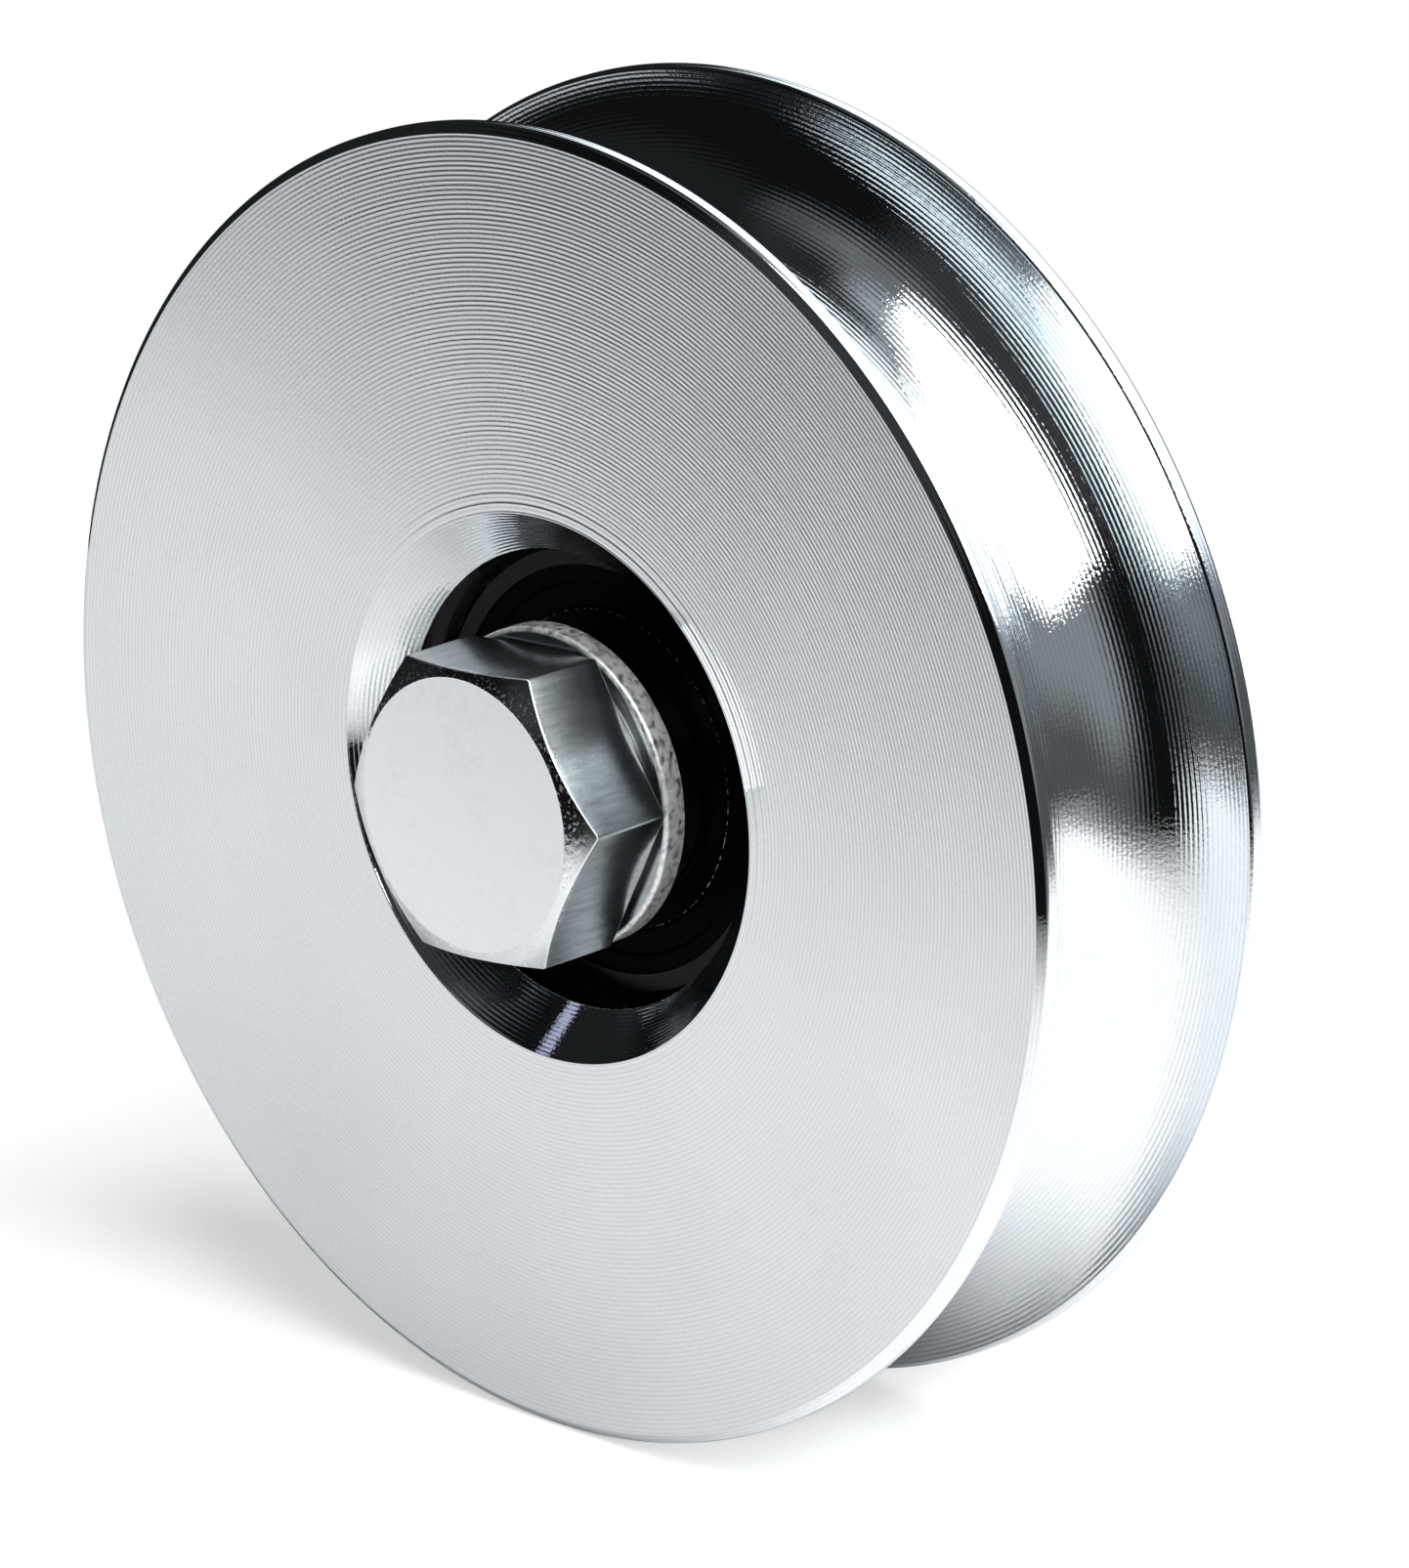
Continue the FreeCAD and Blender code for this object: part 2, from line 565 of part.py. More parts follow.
def make_spacer(label, length, start):
    """Turned sleeve that carries the clamping force to the bearing's inner ring."""
    body = new_body(label)
    corners = [
        (SPACER_BORE, "Size.spacer_bevel"),
        (f"{SPACER_BORE} + Size.spacer_bevel", ON_AXIS),
        (f"{SPACER_RADIUS} - Size.spacer_bevel", ON_AXIS),
        (SPACER_RADIUS, "Size.spacer_bevel"),
        (SPACER_RADIUS, f"{length} - Size.spacer_bevel"),
        (f"{SPACER_RADIUS} - Size.spacer_bevel", length),
        (f"{SPACER_BORE} + Size.spacer_bevel", length),
        (SPACER_BORE, f"{length} - Size.spacer_bevel"),
    ]
    turned(body, f"{label}_turned", half_section(body, f"{label}_section", corners))
    place(body, start)


make_wheel()
make_outer_ring()
make_inner_ring()
make_seal("front_seal", faces_rear=False)
make_seal("rear_seal", faces_rear=True)
make_balls()
make_cage()
make_bolt()
make_washer()
make_spacer("front_spacer", FRONT_SPACER, f"-{BEARING_HALF} - {FRONT_SPACER}")
make_spacer("rear_spacer", REAR_SPACER, BEARING_HALF)
make_nut()
doc.recompute()

# Every feature has worked, and every piece is a sound solid
for thing in doc.Objects:
    if "Invalid" in thing.State or "Error" in thing.State:
        raise RuntimeError(f"{thing.Label} did not build")
for piece in nodes:
    if piece.Shape.isNull() or not piece.Shape.isValid():
        raise RuntimeError(f"{piece.Label} is not a sound solid")

os.makedirs("parts", exist_ok=True)
for piece in nodes:
    piece.Shape.exportStep(f"parts/{piece.Label}.step")
    print(f"{piece.Label}: {len(piece.Shape.Solids)} solid, {piece.Shape.Volume:.1f} cubic mm")
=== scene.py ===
# %% [markdown]
# # A sliding gate wheel in bright zinc
# A sliding gate runs on wheels like this one: a steel disc with a half-round groove that sits on a round
# rail, one sealed ball bearing in its middle, and a hexagon bolt for an axle. All its shapes are turned on
# a lathe or are regular hexagons, so this lesson makes them from outlines and angles with numpy, and spends
# the rest of its care on bright, finely grooved metal.

# %% The frame
import json
import math

import bmesh
import bpy
import numpy as np
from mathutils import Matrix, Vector


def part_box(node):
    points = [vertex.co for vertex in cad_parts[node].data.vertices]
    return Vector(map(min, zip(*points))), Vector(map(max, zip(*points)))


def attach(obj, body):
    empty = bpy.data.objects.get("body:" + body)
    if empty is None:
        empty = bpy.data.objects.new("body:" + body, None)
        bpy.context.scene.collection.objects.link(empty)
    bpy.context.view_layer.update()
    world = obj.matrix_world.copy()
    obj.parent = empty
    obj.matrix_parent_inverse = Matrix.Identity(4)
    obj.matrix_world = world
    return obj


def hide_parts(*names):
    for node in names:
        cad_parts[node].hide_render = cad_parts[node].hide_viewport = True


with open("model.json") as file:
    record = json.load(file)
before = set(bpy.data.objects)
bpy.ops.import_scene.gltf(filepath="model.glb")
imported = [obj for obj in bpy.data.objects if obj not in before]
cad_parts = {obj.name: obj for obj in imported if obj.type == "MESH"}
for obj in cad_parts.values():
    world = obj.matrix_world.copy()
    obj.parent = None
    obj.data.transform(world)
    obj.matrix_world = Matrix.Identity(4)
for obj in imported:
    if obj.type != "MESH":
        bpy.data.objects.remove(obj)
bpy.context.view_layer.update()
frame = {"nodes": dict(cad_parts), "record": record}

MM = 0.001

# %% [markdown]
# ## Sizes
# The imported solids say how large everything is, so the main sizes are read from their boxes. Outlines are
# written in millimetres, as on a workshop drawing, and become metres only when a mesh is made.

# %% Sizes from the frame


def reach(node):
    """A node's outer radius and its first and last place along the axle, in millimetres."""
    low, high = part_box(node)
    return high.x / MM, low.y / MM, high.y / MM


WHEEL_RADIUS, WHEEL_FRONT, WHEEL_REAR = reach("wheel_rim")
OUTER_RING, _, BEARING_REAR = reach("bearing_outer_ring")
INNER_RING = reach("bearing_inner_ring")[0]
SEAL_RADIUS, SEAL_FRONT, SEAL_BACK = reach("front_seal")
WASHER_RADIUS, WASHER_FRONT, WASHER_REAR = reach("head_washer")
SPACER_RADIUS, SPACER_FRONT, SPACER_BACK = reach("front_spacer")
REAR_SPACER_START, REAR_SPACER_END = reach("rear_spacer")[1:]
NUT_FRONT, NUT_REAR = reach("clamp_nut")[1:]
BOLT_FRONT, BOLT_END = reach("axle_bolt")[1:]
for mount in frame["record"]["mounts"]:
    if mount["name"] == "axle_thread":
        THREAD_RADIUS = mount["dims"]["r_mm"]
print(f"wheel: {2 * WHEEL_RADIUS:.1f} mm across, {WHEEL_REAR - WHEEL_FRONT:.1f} mm wide")

# %% [markdown]
# ## Turning an outline
# A lathe part is an outline carried round the axle. Blender's Screw modifier could do it, but with its points
# worked out one by one the surface can carry exact normals, and bright metal needs those: a mirror shows
# every facet. Each corner of an outline is rounded, because no real edge is perfectly sharp and the tiny
# round is what catches the light. A UV map named turning stores how far along the outline each point lies, in
# millimetres, so that tool marks can follow the surface over faces, cones and grooves alike.

# %% Rounded outlines
ARC_POINTS = 7


def rounded(corners, points=ARC_POINTS):
    """Points and normals of a closed outline whose corners (radius, height, rounding) are made round.

    A rounding q touches both sides at q / tan(a / 2) from the corner, where a is the angle between the
    sides, and its centre lies on their bisector at q / sin(a / 2). Outlines run so that metal is on the
    right, and the normal is the direction of travel turned left. Corners may have leading axes.
    """
    corners = np.asarray(corners, float)
    place, rounding = corners[..., :2], corners[..., 2:]
    back = np.roll(place, 1, axis=-2) - place
    ahead = np.roll(place, -1, axis=-2) - place
    back /= np.linalg.norm(back, axis=-1, keepdims=True)
    ahead /= np.linalg.norm(ahead, axis=-1, keepdims=True)
    half = np.arccos(np.clip((back * ahead).sum(-1, keepdims=True), -1, 1)) / 2
    inward = (back + ahead) / np.linalg.norm(back + ahead, axis=-1, keepdims=True)
    centre = place + inward * rounding / np.sin(half)
    first = place + back * rounding / np.tan(half) - centre
    last = place + ahead * rounding / np.tan(half) - centre
    begin = np.arctan2(first[..., 1], first[..., 0])
    sweep = np.arctan2(last[..., 1], last[..., 0]) - begin
    sweep = (sweep + math.pi) % (2 * math.pi) - math.pi
    angle = begin[..., None] + sweep[..., None] * np.linspace(0, 1, points)
    spoke = np.stack([np.cos(angle), np.sin(angle)], axis=-1)
    outline = centre[..., None, :] + rounding[..., None] * spoke
    normal = -np.sign(sweep)[..., None, None] * spoke
    shape = corners.shape[:-2] + (-1, 2)
    return outline.reshape(shape), normal.reshape(shape)


def arc(centre_radius, centre_height, size, begin, end, count):
    """Points and normals of an arc in an outline, hollow side outwards, by its angles in degrees."""
    angle = np.radians(np.linspace(begin, end, count))
    spoke = np.stack([np.cos(angle), np.sin(angle)], axis=-1)
    return np.array([centre_radius, centre_height]) + size * spoke, -spoke


print("outlines:", ARC_POINTS, "points in each rounded corner")

# %% [markdown]
# ## Surfaces
# A grid of points becomes a mesh in one call, and points that meet are welded. Besides its shape a surface
# carries the turning map, exact normals, and an attribute named wear_and_glint, which is 1 where an edge is
# scuffed bare and where an edge carries a painted glint. Finishes read the map and the attribute, so they
# follow the shape by themselves.

# %% Surfaces from grids
AROUND = 600
WELD = 1e-7


def surface(name, points, faces, uv, normals, wear_and_glint):
    """A mesh object from points in mm, faces, one UV pair per face corner and one normal per point.

    Points that coincide are welded, so that seams and poles close. A normal of zero is left to Blender.
    The wear_and_glint mark is 1 on points of scuffed edges and of edges with a painted glint, 0 elsewhere,
    for the finish to read.
    """
    mesh = bpy.data.meshes.new(name)
    mesh.from_pydata(points * MM, [], faces)
    mesh.uv_layers.new(name="turning").uv.foreach_set("vector", uv.astype(np.float32).ravel())
    facing = mesh.attributes.new("facing", "FLOAT_VECTOR", "POINT")
    facing.data.foreach_set("vector", normals.astype(np.float32).ravel())
    mesh.attributes.new("wear_and_glint", "FLOAT", "POINT").data.foreach_set("value", wear_and_glint.astype(np.float32).ravel())
    body = bmesh.new()
    body.from_mesh(mesh)
    bmesh.ops.remove_doubles(body, verts=body.verts, dist=WELD)
    bmesh.ops.dissolve_degenerate(body, edges=body.edges, dist=WELD)
    body.to_mesh(mesh)
    body.free()
    mesh.polygons.foreach_set("use_smooth", np.ones(len(mesh.polygons), bool))
    welded = np.empty((len(mesh.vertices), 3), np.float32)
    mesh.attributes["facing"].data.foreach_get("vector", welded.ravel())
    mesh.attributes.remove(mesh.attributes["facing"])
    mesh.normals_split_custom_set_from_vertices(welded)
    piece = bpy.data.objects.new(name, mesh)
    bpy.context.scene.collection.objects.link(piece)
    print(f"{name}: {len(mesh.polygons)} faces")
    return piece


def grid_faces(rows, columns, closed):
    """Corner numbers of the quads of a grid whose columns close round the axle, and its rows if asked."""
    row, column = np.meshgrid(np.arange(rows if closed else rows - 1), np.arange(columns), indexing="ij")
    below = (row + 1) % rows
    beside = (column + 1) % columns
    corners = [
        row * columns + column,
        row * columns + beside,
        below * columns + beside,
        below * columns + column,
    ]
    return np.stack(corners, axis=-1).reshape(-1, 4)


def grid_uv(along, turn, closed):
    """UV pairs for grid_faces: the distance along the outline, and the turn as a share of a circle."""
    near = along if closed else along[:-1]
    far = np.roll(along, -1, axis=0) if closed else along[1:]
    if closed:
        far[-1] = near[-1] + (near[-1] - near[-2])
    share = np.append(turn, turn[0] + 2 * math.pi) / (2 * math.pi)
    begin, end = np.broadcast_to(share[:-1], near.shape), np.broadcast_to(share[1:], near.shape)
    next_near, next_far = np.roll(near, -1, axis=1), np.roll(far, -1, axis=1)
    pairs = [(near, begin), (next_near, end), (next_far, end), (far, begin)]
    return np.stack([np.stack(pair, axis=-1) for pair in pairs], axis=-2)


def travelled(outline):
    """Distance along each outline from its first point, by adding up its steps."""
    steps = np.linalg.norm(np.diff(outline, axis=-2), axis=-1)
    start = np.zeros(outline.shape[:-2] + (1,))
    return np.concatenate([start, np.cumsum(steps, axis=-1)], axis=-1)


def wear_and_glint_corners(count, edge_marks):
    """One number per outline point: 1 inside the rounds of the marked corners, scuffed ones and those with a
    painted glint, 0 elsewhere.
    """
    wear_and_glint = np.zeros((count, ARC_POINTS))
    wear_and_glint[edge_marks, 2:-2] = 1
    return wear_and_glint.ravel()


def round_axle(radius, height, turn):
    """Points at a turn t round the axle: (r, y) goes to (r cos t, y, r sin t)."""
    return np.stack(np.broadcast_arrays(radius * np.cos(turn), height, radius * np.sin(turn)), axis=-1)


def lathe(name, outline, normal, wear_and_glint, around=AROUND):
    """Carry a closed outline round the axle, with its normals, map, and scuffed and painted-glint edges."""
    turn = np.linspace(0, 2 * math.pi, around, endpoint=False)
    points = round_axle(outline[:, :1], outline[:, 1:], turn).reshape(-1, 3)
    normals = round_axle(normal[:, :1], normal[:, 1:], turn).reshape(-1, 3)
    along = np.repeat(travelled(outline)[:, None], around, axis=1)
    faces = grid_faces(len(outline), around, closed=True)
    uv = grid_uv(along, turn, closed=True)
    return surface(name, points, faces, uv, normals, np.repeat(wear_and_glint, around))


def stand_for(piece, body, node):
    """Put a piece on the body that carries it, and hide the solid it stands for."""
    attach(piece, body)
    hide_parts(node)


print("surfaces:", AROUND, "points round the wheel")

# %% [markdown]
# ## Finishes
# Every finish is a small node tree on the Principled shader. A few helpers keep the trees short: one starts
# a material, one makes a node and fills its sockets, and the rest stand for the nodes used most. Numbers
# that are the same all over a surface go straight into the shader's sockets.

# %% Node helpers


def new_finish(name):
    """An empty material with its Principled shader already wired to the output."""
    material = bpy.data.materials.new(name)
    material.use_nodes = True
    tree = material.node_tree
    return material, tree, tree.nodes["Principled BSDF"]


def wire(tree, node, **sockets):
    """Give a node's sockets numbers or other nodes' outputs, by name or, as in _0, by place."""
    for socket, given in sockets.items():
        numbered = socket[1:].isdigit()
        entry = node.inputs[int(socket[1:]) if numbered else socket.replace("_", " ")]
        if isinstance(given, bpy.types.NodeSocket):
            tree.links.new(given, entry)
        else:
            entry.default_value = given


def put(tree, kind, settings=None, **sockets):
    """A node of a kind; settings are its own options, and its sockets are wired."""
    node = tree.nodes.new(kind)
    for option, choice in (settings or {}).items():
        setattr(node, option, choice)
    wire(tree, node, **sockets)
    return node


def sum_up(tree, operation, first, second=0.0, third=0.0):
    """One Math node's result."""
    return put(tree, "ShaderNodeMath", {"operation": operation}, _0=first, _1=second, _2=third).outputs[0]


def product(tree, *factors):
    """Numbers multiplied by one another."""
    result = factors[0]
    for factor in factors[1:]:
        result = sum_up(tree, "MULTIPLY", result, factor)
    return result


def rest_of(tree, share):
    """What a share leaves of 1."""
    return sum_up(tree, "SUBTRACT", 1.0, share)


def vector_sum(tree, operation, first, second=(0.0, 0.0, 0.0)):
    """One Vector Math node's results, its vector and its number."""
    return put(tree, "ShaderNodeVectorMath", {"operation": operation}, _0=first, _1=second).outputs


def parts(tree, vector):
    """A vector's X, Y and Z."""
    return put(tree, "ShaderNodeSeparateXYZ", Vector=vector).outputs


def between(tree, factor, low, high):
    """A number that goes from low to high as the factor goes from 0 to 1."""
    return put(tree, "ShaderNodeMapRange", Value=factor, To_Min=low, To_Max=high).outputs["Result"]


def eased(tree, factor, start, end, high):
    """A number that eases from 0 to high while the factor goes from start to end."""
    options = {"interpolation_type": "SMOOTHSTEP"}
    sockets = {"Value": factor, "From_Min": start, "From_Max": end, "To_Min": 0.0, "To_Max": high}
    return put(tree, "ShaderNodeMapRange", options, **sockets).outputs["Result"]


def speckle(tree, where, scale, detail=2.0, dimensions="3D"):
    """Noise on a place, or in one dimension on a distance."""
    socket = {"W": where} if dimensions == "1D" else {"Vector": where}
    options = {"noise_dimensions": dimensions}
    noise = put(tree, "ShaderNodeTexNoise", options, Scale=scale, Detail=detail, **socket)
    return noise.outputs["Fac"]


def mixed(tree, factor, first, second):
    """A colour between two colours."""
    mix = put(tree, "ShaderNodeMix", {"data_type": "RGBA"}, _0=factor, _6=(*first, 1), _7=(*second, 1))
    return mix.outputs[2]


def along_turning(tree):
    """Distance along the turned outline, in millimetres, from the turning map."""
    return parts(tree, put(tree, "ShaderNodeUVMap", {"uv_map": "turning"}).outputs[0])["X"]


def own_place(tree):
    """The point's place on its own object, in metres."""
    return put(tree, "ShaderNodeTexCoord").outputs["Object"]


def from_axle(tree):
    """A point's distance from the axle, in metres."""
    x, _, z = parts(tree, own_place(tree))
    return sum_up(tree, "POWER", sum_up(tree, "MULTIPLY_ADD", x, x, product(tree, z, z)), 0.5)


def wear_and_glint_edge(tree):
    """The mesh's mark on edges, 1 where scuffed by use and where a painted glint is drawn."""
    return put(tree, "ShaderNodeAttribute", {"attribute_name": "wear_and_glint"}).outputs["Fac"]


def raise_by(tree, shader, height):
    """Bump from a height in millimetres."""
    bump = put(tree, "ShaderNodeBump", Strength=1.0, Distance=MM, Height=height)
    wire(tree, shader, Normal=bump.outputs[0])


# %% [markdown]
# ## The turned zinc
# The wheel is cut on a lathe and then zinc plated. The plating is bright, so all its texture is the tool's
# spiral: fine rings about a third of a millimetre apart, some deeper than others. The rings are a wave of
# the distance along the outline, made uneven by noise in one dimension, which stays constant round each
# ring as real tool marks do. An anisotropic shader would blur the light the same way, but real rings also
# break up the edges of reflections, so they are bumps here, over a little anisotropy for the marks that
# are too fine to see. In the rail groove the plating is pitted, so its grain is deeper there, and rubbed
# edges are rougher.

# %% Turned zinc finish
CLOUD_SCALE = 60.0
GRAIN_SCALE = 3600.0
ZINC_GREY = (0.61, 0.67, 0.71)
ZINC_LIGHT = (0.88, 0.905, 0.92)


def turning_marks(tree, pitch, depth, mouth):
    """The rings' even wave, and the height of the marks in millimetres.

    The height is the wave, made uneven by noise, plus a finer noise. It is lower past the mouth, in the
    cone, and just outside the mouth rings of twice the pitch are added.
    """
    along = along_turning(tree)
    wave = sum_up(tree, "SINE", product(tree, along, 2 * math.pi / pitch))
    uneven = speckle(tree, along, 1.1, 3.0, "1D")
    fine = speckle(tree, along, 7.0, 2.0, "1D")
    marks = product(tree, wave, between(tree, uneven, 0.7 * depth, 1.2 * depth))
    marks = sum_up(tree, "MULTIPLY_ADD", fine, 0.6 * depth, marks)
    in_cone = eased(tree, along, mouth, mouth + 0.2, 0.4)
    marks = product(tree, marks, rest_of(tree, in_cone))
    outside = eased(tree, along, mouth - 2.4, mouth - 0.8, 1.0)
    outside = sum_up(tree, "SUBTRACT", outside, eased(tree, along, mouth - 0.2, mouth, 1.0))
    coarse = sum_up(tree, "SINE", product(tree, along, math.pi / pitch))
    rings = product(tree, coarse, outside)
    return wave, sum_up(tree, "MULTIPLY_ADD", rings, 1.2 * depth, marks)


def pit_depth(tree, depth):
    """How deep the plating's grain is: deepest far from the axle and between the flanges."""
    beside = sum_up(tree, "ABSOLUTE", parts(tree, own_place(tree))["Y"])
    between_flanges = eased(tree, beside, 11.2 * MM, 10.6 * MM, 1.4 * depth)
    far_out = eased(tree, from_axle(tree), 30.0 * MM, 35.0 * MM, 1.0)
    return sum_up(tree, "ADD", product(tree, between_flanges, far_out), 0.8 * depth)


def turned_zinc(pitch, depth, roughness, mouth):
    """Bright zinc over turning marks of a pitch and depth in millimetres."""
    material, tree, shader = new_finish("turned_zinc")
    wave, marks = turning_marks(tree, pitch, depth, mouth)
    clouds = speckle(tree, own_place(tree), CLOUD_SCALE, 4.0)
    grain = speckle(tree, own_place(tree), GRAIN_SCALE, 2.0)
    raise_by(tree, shader, sum_up(tree, "MULTIPLY_ADD", grain, pit_depth(tree, depth), marks))
    shade = sum_up(tree, "MULTIPLY_ADD", clouds, 0.5, 0.14)
    shade = sum_up(tree, "MULTIPLY_ADD", wave, 0.22, shade)
    shade = sum_up(tree, "MULTIPLY_ADD", grain, 0.55, shade)
    rough = between(tree, clouds, 0.8 * roughness, 1.2 * roughness)
    rough = sum_up(tree, "ADD", rough, eased(tree, grain, 0.5, 0.75, 0.3 * roughness))
    edge_marks = product(tree, wear_and_glint_edge(tree), eased(tree, grain, 0.4, 0.6, 0.5))
    direction = put(tree, "ShaderNodeTangent", {"direction_type": "UV_MAP", "uv_map": "turning"})
    wire(tree, shader, Base_Color=mixed(tree, shade, ZINC_GREY, ZINC_LIGHT), Metallic=1.0,
         Roughness=sum_up(tree, "ADD", rough, edge_marks), Anisotropic=0.6, Tangent=direction.outputs[0])
    return material


# %% [markdown]
# ## The wheel
# One turned disc: flat faces, a narrow bevel at each rim, a thin crest, the half-round groove for the rail,
# and a stepped bore. The bore's wide cone at the front is what frames the bolt.

# %% Wheel
FLANGE_CREST = 1.75
RIM_BEVEL = (0.75, 0.55)
GROOVE_EDGE = 0.4
MOUTH_CONE = 3.35
SHOULDER_RADIUS = 14.5
REAR_CONE = 1.0
EDGE = 0.12
RIM_EDGE = 0.4
GROOVE_POINTS = 72
REAR_LIP, FRONT_LIP, RECESS_EDGE = 6, 8, 12
MARK_PITCH, MARK_DEPTH = 0.36, 0.0048
MIRROR_ROUGHNESS = 0.05


def wheel_outline():
    """Bore, rear face, rim, crest, groove, crest, rim and front face, with metal on the right.

    The two corners between the lips only close the outline: the groove's arc takes their place.
    """
    groove = WHEEL_REAR - FLANGE_CREST
    lip = math.degrees(math.acos(GROOVE_EDGE / groove))
    face = WHEEL_RADIUS - RIM_BEVEL[0]
    corners = [
        (SHOULDER_RADIUS, BEARING_REAR, EDGE),
        (SHOULDER_RADIUS, WHEEL_REAR - REAR_CONE, EDGE),
        (SHOULDER_RADIUS + REAR_CONE, WHEEL_REAR, EDGE),
        (face, WHEEL_REAR, EDGE),
        (WHEEL_RADIUS, WHEEL_REAR - RIM_BEVEL[1], RIM_EDGE),
        (WHEEL_RADIUS, groove, GROOVE_EDGE),
        (WHEEL_RADIUS - 2 * GROOVE_EDGE, groove, EDGE),
        (WHEEL_RADIUS - 2 * GROOVE_EDGE, -groove, EDGE),
        (WHEEL_RADIUS, -groove, GROOVE_EDGE),
        (WHEEL_RADIUS, WHEEL_FRONT + RIM_BEVEL[1], RIM_EDGE),
        (face, WHEEL_FRONT, EDGE),
        (OUTER_RING + MOUTH_CONE, WHEEL_FRONT, EDGE),
        (OUTER_RING, WHEEL_FRONT + MOUTH_CONE, EDGE),
        (OUTER_RING, BEARING_REAR, EDGE),
    ]
    outline, normal = rounded(corners)
    wear_and_glint = wear_and_glint_corners(len(corners), [RECESS_EDGE])
    rear, front = REAR_LIP * ARC_POINTS, FRONT_LIP * ARC_POINTS
    hollow, hollow_normal = arc(WHEEL_RADIUS, 0.0, groove, 180 - lip, 180 + lip, GROOVE_POINTS)
    outline = np.concatenate([outline[:rear], hollow, outline[front:]])
    normal = np.concatenate([normal[:rear], hollow_normal, normal[front:]])
    wear_and_glint = np.concatenate([wear_and_glint[:rear], np.zeros(len(hollow)), wear_and_glint[front:]])
    return outline, normal, wear_and_glint


outline, normal, wear_and_glint = wheel_outline()
wheel = lathe("wheel", outline, normal, wear_and_glint)
mouth_edge = np.array([OUTER_RING + MOUTH_CONE, WHEEL_FRONT])
mouth = travelled(outline)[np.linalg.norm(outline - mouth_edge, axis=-1).argmin()]
wheel.data.materials.append(turned_zinc(MARK_PITCH, MARK_DEPTH, MIRROR_ROUGHNESS, mouth))
stand_for(wheel, "wheel", "wheel_rim")

# %% [markdown]
# ## The seals
# Each seal is a moulded rubber ring, clipped into the bearing's outer ring. Its outline is a thick bead
# outside, a thin web, and a lip that almost touches the inner ring. The rear seal is the same outline
# mirrored, and it runs the other way round so that its normals still point outwards.

# %% Seals
LIP_WIDTH = 1.8
BEAD_WIDTH = 1.3
WEB_SUNK = 0.25
WEB_SLOPE = 0.2
SEAL_EDGE = 0.08
SEAL_BORE = INNER_RING - 0.24
LIP_CORNER = 5
RING_AROUND = 240
RUBBER_BLACK = (0.0006, 0.0006, 0.0008)
GLINT_GREY = (0.5, 0.5, 0.5)


def seal_outline():
    """Bead, web and lip on the front, a plain back."""
    sunk = SEAL_FRONT + WEB_SUNK
    bead = SEAL_RADIUS - BEAD_WIDTH
    lip = SEAL_BORE + LIP_WIDTH
    corners = [
        (SEAL_RADIUS, SEAL_BACK, SEAL_EDGE),
        (SEAL_RADIUS, SEAL_FRONT, SEAL_EDGE),
        (bead, SEAL_FRONT, SEAL_EDGE),
        (bead - WEB_SLOPE, sunk, SEAL_EDGE),
        (lip + WEB_SLOPE, sunk, SEAL_EDGE),
        (lip, SEAL_FRONT, SEAL_EDGE),
        (SEAL_BORE, SEAL_FRONT, SEAL_EDGE),
        (SEAL_BORE, SEAL_BACK, SEAL_EDGE),
    ]
    # The lip's rim is marked for the painted glint.
    return *rounded(corners), wear_and_glint_corners(len(corners), [LIP_CORNER])


def black_rubber():
    """Matt black rubber with a fine grain from its mould, and pale metal flecks round its lip as a painted
    glint.
    """
    material, tree, shader = new_finish("seal_rubber")
    grain = speckle(tree, own_place(tree), 2500.0, 3.0)
    # The lip's rim is painted as pale metal in flecks: a painted glint.
    lip_glint = product(tree, wear_and_glint_edge(tree), eased(tree, grain, 0.5, 0.6, 1.0))
    shade = sum_up(tree, "MULTIPLY_ADD", grain, 0.002, lip_glint)
    wire(tree, shader, Base_Color=mixed(tree, shade, RUBBER_BLACK, GLINT_GREY), Metallic=lip_glint,
         Roughness=between(tree, grain, 0.30, 0.40), Specular_IOR_Level=0.015)
    raise_by(tree, shader, product(tree, grain, 0.008))
    return material


rubber = black_rubber()
outline, normal, wear_and_glint = seal_outline()
front_seal = lathe("front_seal_ring", outline, normal, wear_and_glint, RING_AROUND)
mirrored, mirrored_normal = outline[::-1] * (1, -1), normal[::-1] * (1, -1)
rear_seal = lathe("rear_seal_ring", mirrored, mirrored_normal, wear_and_glint[::-1], RING_AROUND)
for piece, node in ((front_seal, "front_seal"), (rear_seal, "rear_seal")):
    piece.data.materials.append(rubber)
    stand_for(piece, "wheel", node)

# %% [markdown]
# ## Washer and spacers
# The washer is stamped from sheet, which rolls its front edge over, and the spacers are short turned
# sleeves. Both are plain outlines.

# %% Washer and spacers
BORE_EDGE = 0.1
ROLLED_EDGE = 0.4
WASHER_BORE = 7.5
SPACER_BORE = 7.25
SPACER_BEVEL = 0.4


def sleeve_outline(bore, radius, front, rear, bevel):
    """A sleeve with its four corners bevelled."""
    corners = [
        (bore, front + bevel, BORE_EDGE),
        (bore, rear - bevel, BORE_EDGE),
        (bore + bevel, rear, BORE_EDGE),
        (radius - bevel, rear, BORE_EDGE),
        (radius, rear - bevel, BORE_EDGE),
        (radius, front + bevel, BORE_EDGE),
        (radius - bevel, front, BORE_EDGE),
        (bore + bevel, front, BORE_EDGE),
    ]
    return *rounded(corners), wear_and_glint_corners(len(corners), [])


def washer_outline():
    """A flat ring, rolled over at its outer front edge."""
    corners = [
        (WASHER_BORE, WASHER_FRONT, BORE_EDGE),
        (WASHER_BORE, WASHER_REAR, BORE_EDGE),
        (WASHER_RADIUS, WASHER_REAR, BORE_EDGE),
        (WASHER_RADIUS, WASHER_FRONT, ROLLED_EDGE),
    ]
    return *rounded(corners), wear_and_glint_corners(len(corners), [])


